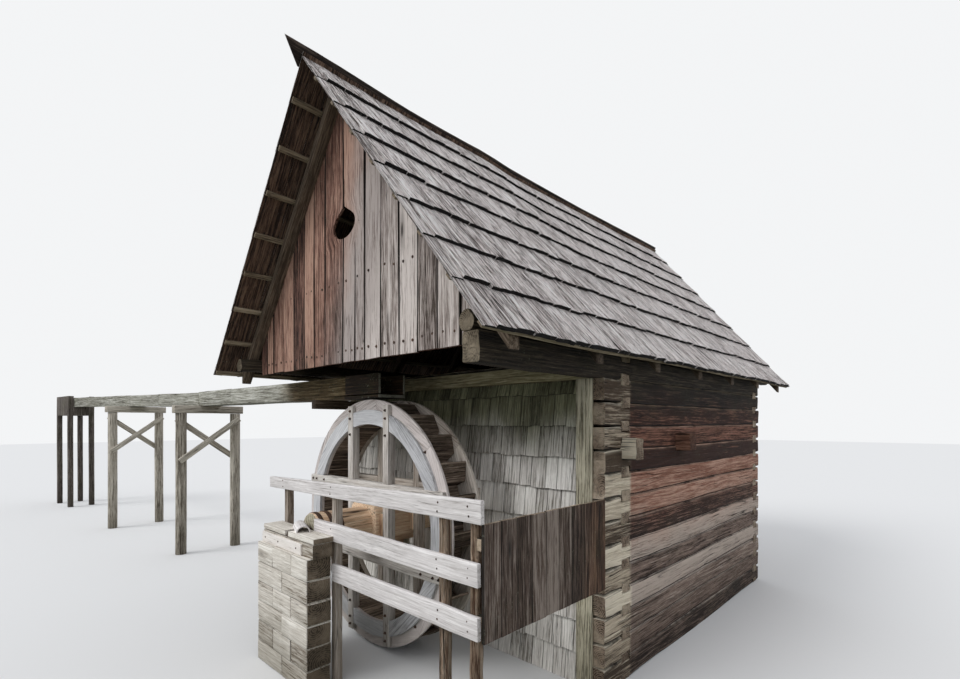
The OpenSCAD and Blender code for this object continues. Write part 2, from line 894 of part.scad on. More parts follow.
// Two round legs, a cap beam and crossed braces; the cap's top is at height h
module trestle(h) {
  span = cap_beam_len - leg_d - 2 * leg_in;
  foot = h - cap_beam_h;
  run = span + 2 * brace_past;
  rise = brace_h - 2 * brace_w;
  color([0.52, 0.48, 0.43]) {
    block([-cap_beam_w / 2, -cap_beam_len / 2, foot], [cap_beam_w, cap_beam_len, cap_beam_h]);
    for (s = [-1, 1])
      translate([0, s * span / 2, 0]) cylinder(d = leg_d, h = foot - seat);
    for (s = [-1, 1])
      translate([s * (leg_d / 2 + brace_t / 2 + seat), 0, foot - brace_h / 2])
        rotate([s * atan2(rise, run), 0, 0])
          cube([brace_t, norm([run, rise]), brace_w], center = true);
  }
}

module first_trestle() {
  translate([trestle_x, flume_mid_y, 0]) trestle(trestle_z - cap_beam_w / 2 * sin(rise_1) - seat);
}

module second_trestle() {
  translate([trestle_x, flume_mid_y, 0]) rotate([0, 0, turn_2])
    translate([-bay_2 * cos(rise_2), 0, 0])
      trestle(trestle_z + (bay_2 - cap_beam_w / 2) * sin(rise_2) - joint_gap * tan(rise_2) - seat);
}

// The box where the water enters: boarded sides on four legs, open at the top
module inlet_box() {
  w = flume_w + 2 * inlet_side;
  low = trestle_z + outer_len * sin(rise_2) - inlet_deep;
  color([0.42, 0.36, 0.33])
    difference() {
      translate([trestle_x - joint_gap, flume_mid_y, 0]) rotate([0, 0, turn_2])
        translate([-outer_len * cos(rise_2) - inlet_len + flume_t, -w / 2, 0]) {
          difference() {
            block([0, 0, low], [inlet_len, w, inlet_deep + flume_side + inlet_over]);
            block([flume_t, flume_t, low + flume_t], [inlet_len - 2 * flume_t, w - 2 * flume_t, big]);
          }
          for (x = [0, inlet_len - inlet_leg], y = [0, w - inlet_leg])
            block([x, y, 0], [inlet_leg, inlet_leg, low]);
        }
      outer_place()
        block([-outer_len - 2 * flume_t, -flume_w / 2 - seat, -seat],
          [4 * flume_t, flume_w + 2 * seat, big]);
    }
}

// The axle log: round at the front, squared between the arms, round behind
module wheel_axle() {
  color([0.55, 0.36, 0.20])
    translate([axle_x, 0, axle_z]) {
      rod_y(axle_front_r, axle_front, boss_front - axle_front);
      along_y(boss_front, boss_rear - boss_front) intersection() {
        square(2 * boss_half, center = true);
        rotate(45) square(2 * (boss_half * sqrt(2) - boss_chamfer / sqrt(2)), center = true);
      }
      rod_y(axle_rear_r, boss_rear, axle_rear - boss_rear);
    }
}

module axle_hoops() {
  color([0.25, 0.20, 0.18])
    translate([axle_x, 0, axle_z])
      for (h = hoops)
        difference() {
          rod_y(h[1] + hoop_t, h[0], hoop_w);
          rod_y(h[1], h[0] - 1, hoop_w + 2);
        }
}

module gudgeons() {
  color([0.28, 0.24, 0.22])
    translate([axle_x, 0, axle_z]) {
      rod_y(gudgeon_r, gudgeon_front, axle_front - gudgeon_front);
      rod_y(gudgeon_r, axle_rear, gudgeon_rear - axle_rear);
    }
}

// Turns what is built for a ring's outer side, at y = 0 facing -Y, to a face of the wheel
module on_ring(face, dir) {
  translate([axle_x, face, axle_z]) rotate([0, 0, dir > 0 ? 0 : 180]) children();
}

// A ring with felloes nailed on its outer side between the arms
module ring() {
  color([0.66, 0.66, 0.66])
    difference() {
      union() {
        rod_y(wheel_r, 0, ring_t);
        rod_y(felloe_r, -felloe_t, felloe_t + 1);
      }
      rod_y(ring_in, -felloe_t - 1, felloe_t + ring_t + 2);
      for (turn = [0, 1], s = [-1, 1])
        rotate([0, turn * 90, 0])
          block([s * arm_offs[turn] - arm_w / 2 - seat, -felloe_t - 1, -wheel_r],
            [arm_w + 2 * seat, felloe_t + 1, 2 * wheel_r]);
    }
}

module near_ring() {
  on_ring(near_face, 1) ring();
}

module far_ring() {
  on_ring(far_face, -1) ring();
}

module sole_boards() {
  color([0.36, 0.27, 0.20])
    translate([axle_x, 0, axle_z])
      difference() {
        rod_y(ring_in + bucket_t, near_face + ring_t, wheel_w - 2 * ring_t);
        rod_y(ring_in, near_face, wheel_w);
      }
}

// Elbow buckets: a riser on the sole and a board out to the rim
module buckets() {
  color([0.34, 0.26, 0.19])
    translate([axle_x, 0, axle_z])
      for (i = [0:bucket_count - 1])
        rotate([0, i * 360 / bucket_count - bucket_phase, 0])
          along_y(near_face + ring_t, wheel_w - 2 * ring_t) bucket_section();
}

module bucket_section() {
  foot_r = ring_in + bucket_t + seat;
  lip_r = wheel_r - bucket_in;
  lean = atan2(bucket_lift, lip_r - felloe_r);
  polygon([
    [foot_r, 0], [felloe_r, 0], [lip_r, bucket_lift],
    [lip_r, bucket_lift] + bucket_t * [-sin(lean), cos(lean)],
    [felloe_r - bucket_t * tan(lean / 2), bucket_t], [foot_r, bucket_t]
  ]);
}

// Length of an arm whose middle runs at a distance from the axle's middle
function arm_len(off) = 2 * (sqrt(pow(wheel_r, 2) - pow(off + arm_w / 2, 2)) - arm_in);

// Two upright and two level arms, half lapped where they cross and shouldered over the ring
module arms() {
  lap = arm_w + 2 * seat;
  color([0.60, 0.58, 0.54])
    for (turn = [0, 1], s = [-1, 1])
      difference() {
        intersection() {
          rotate([0, turn * 90, 0])
            block([s * arm_offs[turn] - arm_w / 2, -arm_proud, -arm_len(arm_offs[turn]) / 2],
              [arm_w, arm_t, arm_len(arm_offs[turn])]);
          union() {
            rod_y(2 * wheel_r, -arm_proud, arm_proud);
            rod_y(ring_in - shoulder_room, -arm_proud, arm_t);
          }
        }
        for (a = [-1, 1], b = [-1, 1])
          block([a * upright_off - lap / 2, turn * arm_t / 2 - arm_proud - seat, b * level_off - lap / 2],
            [lap, arm_t / 2 + 2 * seat, lap]);
      }
}

module near_arms() {
  on_ring(near_face, 1) arms();
}

module far_arms() {
  on_ring(far_face, -1) arms();
}

// Packing between the squared axle and the arms that clasp it
module arm_wedges() {
  color([0.50, 0.40, 0.28])
    for (side = [[near_face, 1], [far_face, -1]])
      on_ring(side[0], side[1])
        for (turn = [0, 1], s = [0, 180])
          rotate([0, turn * 90 + s, 0])
            block([boss_half, -arm_proud, -boss_half / 2],
              [arm_offs[turn] - arm_w / 2 - boss_half, arm_t, boss_half]);
}

front_wall();
rear_wall();
left_wall();
right_wall();
cross_beam();
left_plate();
right_plate();
corbel_log();
front_tie();
rear_tie();
front_gable();
rear_gable();
left_rafters();
right_rafters();
left_battens();
right_battens();
left_roof_boards();
right_roof_boards();
ridge_board();
shingle_cladding();
cladding_head();
corner_board();
bearing_base();
bearing_timber();
bearing_cap();
inner_bearing();
rail_posts();
top_rail();
middle_rail();
bottom_rail();
board_fence();
fence_ledgers();
near_flume();
outer_flume();
flume_post();
flume_bearer();
first_trestle();
second_trestle();
inlet_box();
wheel_axle();
axle_hoops();
gudgeons();
near_ring();
far_ring();
sole_boards();
buckets();
near_arms();
far_arms();
arm_wedges();
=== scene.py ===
import json
import math
import random

import bmesh
import bpy
from mathutils import Matrix, Vector, noise


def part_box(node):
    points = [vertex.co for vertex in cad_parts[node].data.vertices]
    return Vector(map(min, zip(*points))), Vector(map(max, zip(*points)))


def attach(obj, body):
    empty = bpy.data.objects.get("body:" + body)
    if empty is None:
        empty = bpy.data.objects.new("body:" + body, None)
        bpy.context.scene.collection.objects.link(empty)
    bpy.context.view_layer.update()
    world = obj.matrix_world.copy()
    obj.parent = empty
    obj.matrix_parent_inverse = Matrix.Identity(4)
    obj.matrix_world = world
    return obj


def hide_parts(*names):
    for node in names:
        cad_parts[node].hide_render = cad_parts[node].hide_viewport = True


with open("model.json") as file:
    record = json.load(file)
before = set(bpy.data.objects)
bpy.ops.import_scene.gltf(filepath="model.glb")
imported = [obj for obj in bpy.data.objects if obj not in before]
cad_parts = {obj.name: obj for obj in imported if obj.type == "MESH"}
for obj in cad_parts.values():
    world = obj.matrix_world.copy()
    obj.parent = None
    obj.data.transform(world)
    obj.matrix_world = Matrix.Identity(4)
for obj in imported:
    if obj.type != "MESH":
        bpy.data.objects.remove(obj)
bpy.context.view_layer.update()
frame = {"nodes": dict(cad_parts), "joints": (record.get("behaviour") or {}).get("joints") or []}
print("frame loaded:", len(frame["nodes"]), "nodes")

randomSeed = 1887
chance = random.Random(randomSeed)
noise.seed_set(randomSeed)   # the noise vectors change from run to run without it
view = {
    "eye": (4.696, -4.600, 2.580),   # the photograph's viewpoint, metres
    "turn": 43.54,                   # degrees from +Y towards -X
    "lens": 18.82,
    "shiftX": -0.0075,
    "shiftY": 0.0859,
}
studio = {
    "sky": (0.93, 0.95, 1.0),        # light from all round
    "skyLevel": 0.95,
    "backdrop": (0.90, 0.91, 0.92),  # what the camera sees behind the object
    "floor": (0.68, 0.68, 0.67),
    "floorBounce": (0.17, 0.18, 0.15),
    "sunLevel": 1.4,
    "sunFrom": (-0.25, -0.74, 0.64),
}


def makeCamera():
    data = bpy.data.cameras.new("photoCamera")
    data.sensor_width = 36
    data.lens = view["lens"]
    data.shift_x = view["shiftX"]
    data.shift_y = view["shiftY"]
    camera = bpy.data.objects.new("photoCamera", data)
    camera.location = view["eye"]
    camera.rotation_euler = (math.radians(90), 0, math.radians(view["turn"]))
    bpy.context.scene.collection.objects.link(camera)
    bpy.context.scene.camera = camera


# Node helpers


def tone(red, green, blue):   # a colour read off a picture, 0 to 255, as Blender's linear colour
    return [((c / 255 + 0.055) / 1.055) ** 2.4 for c in (red, green, blue)] + [1]


def addNode(tree, kind, inputs=None, **settings):
    node = tree.nodes.new("ShaderNode" + kind)
    for key, value in settings.items():
        setattr(node, key, value)
    for key, value in (inputs or {}).items():
        if isinstance(value, bpy.types.NodeSocket):
            tree.links.new(value, node.inputs[key])
        else:
            node.inputs[key].default_value = value
    return node


def calc(tree, operation, first, second=0.0, third=0.0):
    return addNode(tree, "Math", {0: first, 1: second, 2: third}, operation=operation).outputs[0]


def stretch(tree, vector, factors):
    return addNode(tree, "VectorMath", {0: vector, 1: factors}, operation="MULTIPLY").outputs[0]


def cloud(tree, vector, scale=1.0, detail=3.0, roughness=0.55):
    sockets = {"Vector": vector, "Scale": scale, "Detail": detail, "Roughness": roughness}
    return addNode(tree, "TexNoise", sockets).outputs["Fac"]


def ease(tree, value, low, high, start=0.0, end=1.0):
    sockets = {"Value": value, "From Min": low, "From Max": high, "To Min": start, "To Max": end}
    return addNode(tree, "MapRange", sockets, interpolation_type="SMOOTHSTEP").outputs["Result"]


def mixColor(tree, factor, first, second, mode="MIX"):
    node = addNode(tree, "Mix", {0: factor, 6: first, 7: second}, data_type="RGBA", blend_type=mode)
    return node.outputs[2]


def newGroup(name, inputs, outputs):
    group = bpy.data.node_groups.new(name, "ShaderNodeTree")
    for label, kind, value in inputs:
        socket = group.interface.new_socket(name=label, in_out="INPUT", socket_type="NodeSocket" + kind)
        if value is not None:
            socket.default_value = value
    for label, kind in outputs:
        group.interface.new_socket(name=label, in_out="OUTPUT", socket_type="NodeSocket" + kind)
    return group, group.nodes.new("NodeGroupInput").outputs, group.nodes.new("NodeGroupOutput").inputs


def addGroup(tree, group, inputs):
    node = tree.nodes.new("ShaderNodeGroup")
    node.node_tree = group
    for key, value in inputs.items():
        if isinstance(value, bpy.types.NodeSocket):
            tree.links.new(value, node.inputs[key])
        else:
            node.inputs[key].default_value = value
    return node.outputs


# Weathered wood on a board's own coordinates: x along the fibres, y across, z through the board
def makeWoodGroup():
    group, given, result = newGroup(
        "weatheredWood",
        [("Grain", "Vector", None), ("Span", "Vector", None), ("Tint", "Float", 0.5),
         ("Light", "Color", tone(190, 185, 180)), ("Middle", "Color", tone(150, 142, 138)),
         ("Dark", "Color", tone(70, 60, 55)), ("Streaks", "Float", 0.6), ("Cracks", "Float", 0.6),
         ("Knots", "Float", 0.2), ("Wear", "Float", 0.4), ("Variety", "Float", 0.3),
         ("SeamShade", "Float", 0.0), ("JointShade", "Float", 0.0), ("JointEdge", "Float", 0.93),
         ("EndLight", "Color", tone(150, 140, 130)), ("EndMiddle", "Color", tone(110, 100, 90)),
         ("EndDark", "Color", tone(60, 50, 44))],
        [("Color", "Color"), ("Height", "Float"), ("Roughness", "Float")])
    grain = given["Grain"]
    drift = cloud(group, stretch(group, grain, (0.9, 4.0, 4.0)), detail=2)
    bend = addNode(group, "CombineXYZ", {"Y": calc(group, "MULTIPLY", drift, 0.05),
                                         "Z": calc(group, "MULTIPLY", drift, 0.05)}).outputs[0]
    bent = addNode(group, "VectorMath", {0: grain, 1: bend}, operation="ADD").outputs[0]
    fibre = cloud(group, stretch(group, bent, (1.8, 58.0, 58.0)), detail=6, roughness=0.68)
    band = cloud(group, stretch(group, bent, (0.6, 9.0, 9.0)), detail=4, roughness=0.62)
    fine = cloud(group, stretch(group, bent, (9.0, 130.0, 130.0)), detail=3, roughness=0.6)
    blotch = cloud(group, stretch(group, grain, (1.6, 3.2, 3.2)), detail=4, roughness=0.6)

    # knots sit on some of the cells only, and darken the wood round them
    cells = addNode(group, "TexVoronoi", {"Vector": stretch(group, bent, (1.3, 5.5, 5.5)), "Scale": 1.0})
    cellKind = addNode(group, "SeparateColor", {0: cells.outputs["Color"]}).outputs[0]
    chosen = calc(group, "LESS_THAN", cellKind, given["Knots"])
    knot = calc(group, "MULTIPLY", chosen, ease(group, cells.outputs["Distance"], 0.05, 0.13, 1.0, 0.0))
    halo = calc(group, "MULTIPLY", chosen, ease(group, cells.outputs["Distance"], 0.10, 0.34, 1.0, 0.0))

    # cracks follow the fibres where the wood has opened
    line = cloud(group, stretch(group, bent, (0.55, 19.0, 19.0)), detail=2, roughness=0.4)
    fromLine = calc(group, "ABSOLUTE", calc(group, "SUBTRACT", line, 0.5))
    nearLine = ease(group, fromLine, 0.0, 0.016, 1.0, 0.0)
    opened = ease(group, cloud(group, stretch(group, grain, (1.1, 3.0, 3.0)), detail=2), 0.47, 0.60)
    crack = calc(group, "MULTIPLY", calc(group, "MULTIPLY", nearLine, opened), given["Cracks"])

    strands = calc(group, "MULTIPLY", fibre, 0.60)
    strands = calc(group, "MULTIPLY_ADD", band, 0.16, strands)
    strands = calc(group, "MULTIPLY_ADD", fine, 0.24, strands)
    contrast = calc(group, "MULTIPLY_ADD", given["Streaks"], 3.4, 0.4)
    strong = calc(group, "MULTIPLY_ADD", calc(group, "SUBTRACT", strands, 0.5), contrast, 0.5)
    shade = calc(group, "ADD", strong, calc(group, "MULTIPLY_ADD", blotch, 0.30, -0.15))
    own = calc(group, "MULTIPLY", calc(group, "SUBTRACT", given["Tint"], 0.5), given["Variety"])
    shade = calc(group, "ADD", shade, own)
    color = mixColor(group, ease(group, shade, 0.16, 0.50), given["Dark"], given["Middle"])
    color = mixColor(group, ease(group, shade, 0.48, 0.84), color, given["Light"])
    color = mixColor(group, calc(group, "MULTIPLY", halo, 0.45), color, given["Dark"])
    deep = mixColor(group, 0.78, given["Dark"], (0.006, 0.005, 0.004, 1))
    color = mixColor(group, calc(group, "MULTIPLY", knot, 0.85), color, deep)
    color = mixColor(group, calc(group, "MULTIPLY", crack, 0.92), color, deep)

    # long edges are worn pale in places; the ends show rings in the end colours, darker than the faces:
    # soaked end grain, and on the roof boards' and shingles' butts also painted shade
    span = addNode(group, "SeparateXYZ", {0: addNode(
        group, "VectorMath", {0: given["Span"]}, operation="ABSOLUTE").outputs[0]}).outputs
    arris = calc(group, "MINIMUM", span["Y"], span["Z"])
    edge = ease(group, arris, 0.86, 0.93)
    worn = calc(group, "MULTIPLY", edge, given["Wear"])
    worn = calc(group, "MULTIPLY", worn, ease(group, band, 0.4, 0.6))
    color = mixColor(group, worn, color, given["Light"])
    # painted shade in the gaps: the long arrises and the side edges darken to near black where boards
    # and logs meet
    seamShade = calc(group, "MULTIPLY", ease(group, arris, 0.93, 0.985), given["SeamShade"])
    color = mixColor(group, seamShade, color, deep)
    jointShadeEnd = calc(group, "ADD", given["JointEdge"], 0.05)
    jointShade = ease(group, span["Y"], given["JointEdge"], jointShadeEnd)
    jointShade = calc(group, "MULTIPLY", jointShade, given["JointShade"])
    color = mixColor(group, jointShade, color, deep)
    flat = addNode(group, "VectorMath", {0: given["Span"], 1: (0.0, 0.35, -0.6)}, operation="SUBTRACT")
    round_ = stretch(group, flat.outputs[0], (0.0, 1.0, 1.0))
    reach = addNode(group, "VectorMath", {0: round_}, operation="LENGTH").outputs["Value"]
    ripple = calc(group, "MULTIPLY_ADD", reach, 34.0, calc(group, "MULTIPLY", fine, 5.0))
    ripple = calc(group, "SINE", ripple)
    coarse = cloud(group, grain, scale=38, detail=5, roughness=0.7)
    rings = calc(group, "MULTIPLY_ADD", ripple, 0.12, coarse)
    sawn = mixColor(group, ease(group, rings, 0.36, 0.56), given["EndDark"], given["EndMiddle"])
    sawn = mixColor(group, ease(group, blotch, 0.40, 0.68, 0.0, 0.7), sawn, given["EndLight"])
    isEnd = ease(group, span["X"], 0.9985, 0.9995)
    color = mixColor(group, isEnd, color, sawn)
    group.links.new(color, result["Color"])

    height = calc(group, "SUBTRACT", strong, calc(group, "MULTIPLY", crack, 1.6))
    height = calc(group, "SUBTRACT", height, calc(group, "MULTIPLY", knot, 0.4))
    group.links.new(height, result["Height"])
    group.links.new(ease(group, strong, 0.2, 0.9, 0.92, 0.74), result["Roughness"])
    return group


# What the open air leaves on a surface: damp from the ground, moss and lichen where it lies level
def makeAirGroup():
    group, given, result = newGroup(
        "openAir",
        [("Color", "Color", tone(150, 145, 140)), ("Place", "Vector", None), ("Facing", "Vector", None),
         ("Moss", "Float", 0.2), ("MossColor", "Color", tone(96, 104, 62)), ("Damp", "Float", 0.3),
         ("Lichen", "Float", 0.2), ("Bleach", "Float", 0.0), ("Bleached", "Color", tone(200, 195, 190))],
        [("Color", "Color"), ("Cover", "Float")])
    height = addNode(group, "SeparateXYZ", {0: given["Place"]}).outputs["Z"]
    level = addNode(group, "SeparateXYZ", {0: given["Facing"]}).outputs["Z"]
    patches = cloud(group, given["Place"], scale=2.3, detail=6, roughness=0.68)
    specks = cloud(group, given["Place"], scale=34, detail=4, roughness=0.7)
    reach = calc(group, "MULTIPLY", patches, 0.7)
    reach = calc(group, "MULTIPLY_ADD", level, 0.16, reach)
    reach = calc(group, "MULTIPLY_ADD", specks, 0.3, reach)
    upward = calc(group, "MULTIPLY", ease(group, level, 0.10, 0.55), ease(group, patches, 0.30, 0.55))
    upward = calc(group, "MULTIPLY", upward, given["Bleach"])
    color = mixColor(group, upward, given["Color"], given["Bleached"])
    moss = calc(group, "MULTIPLY", ease(group, reach, 0.46, 0.66), given["Moss"])
    color = mixColor(group, moss, color, given["MossColor"])
    spots = calc(group, "MULTIPLY", ease(group, specks, 0.60, 0.70), ease(group, patches, 0.42, 0.60))
    color = mixColor(group, calc(group, "MULTIPLY", spots, given["Lichen"]), color, tone(196, 198, 182))
    wet = ease(group, calc(group, "MULTIPLY_ADD", patches, -0.9, height), -0.35, 0.45, 1.0, 0.0)
    wet = calc(group, "MULTIPLY", wet, given["Damp"])
    soaked = mixColor(group, 1.0, color, tone(120, 112, 92), "MULTIPLY")
    group.links.new(mixColor(group, wet, color, soaked), result["Color"])
    group.links.new(moss, result["Cover"])
    return group


# Rust with scale and pits, on the piece's own place
def makeRustGroup():
    group, given, result = newGroup(
        "rust", [("Place", "Vector", None), ("Bright", "Color", tone(104, 78, 62)),
                 ("Deep", "Color", tone(44, 38, 36))], [("Color", "Color"), ("Height", "Float")])
    patches = cloud(group, given["Place"], scale=9, detail=6, roughness=0.7)
    pits = cloud(group, given["Place"], scale=85, detail=3, roughness=0.6)
    mask = calc(group, "MULTIPLY_ADD", pits, 0.35, calc(group, "MULTIPLY", patches, 0.65))
    color = mixColor(group, ease(group, mask, 0.40, 0.62), given["Deep"], given["Bright"])
    group.links.new(color, result["Color"])
    group.links.new(mask, result["Height"])
    return group


woodGroup = makeWoodGroup()
airGroup = makeAirGroup()
rustGroup = makeRustGroup()


# Each fade brings in its own colours where the place along its direction passes from low to high
def fadeColor(tree, place, look, label):
    color = look[label]
    for toward, low, high, colors in look.get("fades", []):
        along = addNode(tree, "VectorMath", {0: place, 1: toward}, operation="DOT_PRODUCT")
        patches = cloud(tree, place, scale=1.7, detail=4)
        broken = calc(tree, "MULTIPLY_ADD", patches, (high - low) * 0.9, along.outputs["Value"])
        shift = (high - low) * 0.45
        color = mixColor(tree, ease(tree, broken, low + shift, high + shift), color, colors[label])
    if "under" in look:   # downward faces take the look's under colours: the wood's own sheltered brown, darkened by painted shade
        facing = addNode(tree, "NewGeometry").outputs["Normal"]
        level = addNode(tree, "SeparateXYZ", {0: facing}).outputs["Z"]
        color = mixColor(tree, ease(tree, level, -0.35, -0.15, 1.0, 0.0), color, look["under"][label])
    return color


def makeWood(name, look):
    material = bpy.data.materials.new(name)
    material.use_nodes = True
    tree = material.node_tree
    shader = tree.nodes["Principled BSDF"]
    place = addNode(tree, "TexCoord").outputs["Object"]
    facing = addNode(tree, "NewGeometry").outputs["Normal"]
    end = look.get("end", {"light": look["middle"], "middle": look["middle"], "dark": look["dark"]})
    wood = addGroup(tree, woodGroup, {
        "Grain": addNode(tree, "Attribute", attribute_name="grain").outputs["Vector"],
        "Span": addNode(tree, "Attribute", attribute_name="span").outputs["Vector"],
        "Tint": addNode(tree, "Attribute", attribute_name="tint").outputs["Fac"],
        "Light": fadeColor(tree, place, look, "light"),
        "Middle": fadeColor(tree, place, look, "middle"),
        "Dark": fadeColor(tree, place, look, "dark"),
        "Streaks": look.get("streaks", 0.6), "Cracks": look.get("cracks", 0.6),
        "Knots": look.get("knots", 0.15), "Wear": look.get("wear", 0.3),
        "Variety": look.get("variety", 0.3), "SeamShade": look.get("seams", 0.0),
        "JointShade": look.get("joints", 0.0), "JointEdge": look.get("jointEdge", 0.93),
        "EndLight": end["light"], "EndMiddle": end["middle"], "EndDark": end["dark"]})
    air = addGroup(tree, airGroup, {
        "Color": wood["Color"], "Place": place, "Facing": facing, "Moss": look.get("moss", 0.05),
        "MossColor": look.get("mossColor", tone(92, 98, 60)), "Damp": look.get("damp", 0.4),
        "Lichen": look.get("lichen", 0.15), "Bleach": look.get("bleach", 0.0),
        "Bleached": fadeColor(tree, place, look, "light")})
    tree.links.new(air["Color"], shader.inputs["Base Color"])
    tree.links.new(wood["Roughness"], shader.inputs["Roughness"])
    shader.inputs["Specular IOR Level"].default_value = look.get("shine", 0.25)
    bump = addNode(tree, "Bump", {"Height": wood["Height"], "Strength": look.get("relief", 0.6),
                                  "Distance": look.get("relief", 0.6) * 0.008})
    tree.links.new(bump.outputs["Normal"], shader.inputs["Normal"])
    return material


def makeIron(name):
    material = bpy.data.materials.new(name)
    material.use_nodes = True
    tree = material.node_tree
    shader = tree.nodes["Principled BSDF"]
    rust = addGroup(tree, rustGroup, {"Place": addNode(tree, "TexCoord").outputs["Object"]})
    tree.links.new(rust["Color"], shader.inputs["Base Color"])
    shader.inputs["Roughness"].default_value = 0.82
    shader.inputs["Metallic"].default_value = 0.35
    bump = addNode(tree, "Bump", {"Height": rust["Height"], "Strength": 0.5, "Distance": 0.002})
    tree.links.new(bump.outputs["Normal"], shader.inputs["Normal"])
    return material


# Mesh helpers


# A clean copy of a CAD node: its loose triangles merged into whole faces
def copyOf(*nodes):
    bm = bmesh.new()
    for node in nodes:
        bm.from_mesh(frame["nodes"][node].data)
    bmesh.ops.remove_doubles(bm, verts=bm.verts, dist=0.00002)
    bmesh.ops.dissolve_limit(bm, angle_limit=math.radians(1.5), verts=bm.verts, edges=bm.edges)
    return bm


def islandOf(first):   # the vertices of the solid that one of them belongs to
    found = {first: None}
    stack = [first]
    while stack:
        vert = stack.pop()
        for edge in vert.link_edges:
            other = edge.other_vert(vert)
            if other not in found:
                found[other] = None
                stack.append(other)
    return list(found)


def partsOf(bm):   # the separate solids of a mesh, each as its vertices
    seen = set()
    parts = []
    for first in bm.verts:
        if first not in seen:
            part = islandOf(first)
            seen.update(part)
            parts.append(part)
    return parts


def facesOf(part):
    return list(dict.fromkeys(face for vert in part for face in vert.link_faces))


def edgesOf(part):
    return list(dict.fromkeys(edge for vert in part for edge in vert.link_edges))


def vertsOf(geom):
    return [item for item in geom if isinstance(item, bmesh.types.BMVert)]


def isSharp(edge):
    return len(edge.link_faces) == 2 and edge.calc_face_angle() > math.radians(30)


# A timber's own axes: along its longest edge, across its widest face, and through it
def axesOf(part, along):
    if along is None:
        longest = max(edgesOf(part), key=lambda edge: edge.calc_length())
        along = longest.verts[1].co - longest.verts[0].co
    along = Vector(along).normalized()
    sides = [face for face in facesOf(part) if abs(face.normal.dot(along)) < 0.3]
    widest = max(sides, key=lambda face: face.calc_area()).normal
    through = (widest - along * widest.dot(along)).normalized()
    return along, through.cross(along), through


def countLoops(edges):
    left = set(edges)
    loops = 0
    while left:
        loops += 1
        stack = [left.pop()]
        while stack:
            for vert in stack.pop().verts:
                joined = [edge for edge in vert.link_edges if edge in left]
                left.difference_update(joined)
                stack.extend(joined)
    return loops


def cutAway(bm, verts, point, normal):   # removes what lies past a plane and closes the cut
    geom = list(verts) + edgesOf(verts) + facesOf(verts)
    cut = bmesh.ops.bisect_plane(bm, geom=geom, dist=0.00001, plane_co=point, plane_no=normal,
                                 clear_outer=True)
    rim = [edge for edge in cut["geom_cut"] if isinstance(edge, bmesh.types.BMEdge)]
    if countLoops(rim) == 1:
        bmesh.ops.holes_fill(bm, edges=rim, sides=0)
    elif rim:
        bmesh.ops.triangle_fill(bm, edges=rim, normal=normal)


def sliceAlong(bm, geom, along, step):   # loops across a direction, so that a timber can bend
    reach = [vert.co.dot(along) for vert in vertsOf(geom)]
    low, high = min(reach), max(reach)
    count = int((high - low) / step)
    for i in range(1, count + 1):
        point = along * (low + (high - low) * i / (count + 1))
        geom = bmesh.ops.bisect_plane(bm, geom=geom, dist=0.0001, plane_co=point, plane_no=along)["geom"]
    return geom


timberShape = {
    "along": None,      # fibre direction; the longest edge's when None
    "edge": 0.005,      # worn edges
    "edgeSteps": 2,
    "step": 0.35,       # distance between loops along it
    "crossStep": None,  # and across it
    "bow": 0.004,       # slow bending along the timber
    "rough": 0.0015,    # unevenness of the faces
    "roughScale": 5.0,
    "fray": 0.004,      # unevenness of the ends
    "frayed": 0.03,     # and how far from them it reaches
    "waste": (0, 0),    # how far from its ends a timber is wasted away, and by what share of its size
}


# Where a vertex lies in its own timber, read by the wood's material
def newLayers(bm):
    return {"grain": bm.verts.layers.float_vector.new("grain"),   # along, across and through, in metres
            "span": bm.verts.layers.float_vector.new("span"),     # the same, from -1 to 1
            "tint": bm.verts.layers.float.new("tint")}


def newSeed():
    return Vector((chance.uniform(0, 90), chance.uniform(0, 90), chance.uniform(0, 90)))


def roundEdges(bm, part, shape):
    sharp = [edge for edge in edgesOf(part) if isSharp(edge)]
    if not (shape["edge"] and sharp):
        return part
    made = bmesh.ops.bevel(bm, geom=sharp, offset=shape["edge"], offset_type="OFFSET",
                           affect="EDGES", segments=shape["edgeSteps"], profile=0.5, material=-1,
                           clamp_overlap=True)
    return islandOf(made["verts"][0])


def addLoops(bm, part, axes, shape):
    along, across, through = axes
    geom = sliceAlong(bm, part + edgesOf(part) + facesOf(part), along, shape["step"])
    if shape["crossStep"]:
        geom = sliceAlong(bm, geom, across, shape["crossStep"])
        geom = sliceAlong(bm, geom, through, shape["crossStep"])
    return list(dict.fromkeys(vertsOf(geom)))


# How far a point of a timber has moved from where it was sawn
def ageShift(co, own, axes, halfLength, seed, shape):
    along, across, through = axes
    slow = seed + Vector((own[0] * 0.55, 0, 0))
    shift = across * noise.noise(slow) * shape["bow"] * 2
    shift += through * noise.noise(slow + Vector((0, 7, 0))) * shape["bow"] * 2
    shift += noise.noise_vector(co * shape["roughScale"] + seed) * shape["rough"]
    toEnd = halfLength - abs(own[0])
    reach, share = shape["waste"]
    if toEnd < reach:
        patch = 0.6 + noise.noise(seed + Vector((own[0] * 6, own[1] * 3, own[2] * 3)))
        shrink = share * patch * (1 - toEnd / reach) ** 0.5
        shift -= (across * own[1] + through * own[2] * 0.5) * shrink
    if toEnd < shape["frayed"]:
        uneven = noise.noise(Vector((seed.x, own[1] * 9, own[2] * 9 + (5 if own[0] > 0 else 0))))
        lean = noise.noise(seed * (1.7 if own[0] > 0 else 2.3))
        shift += along * shape["fray"] * (uneven + lean)
    return shift


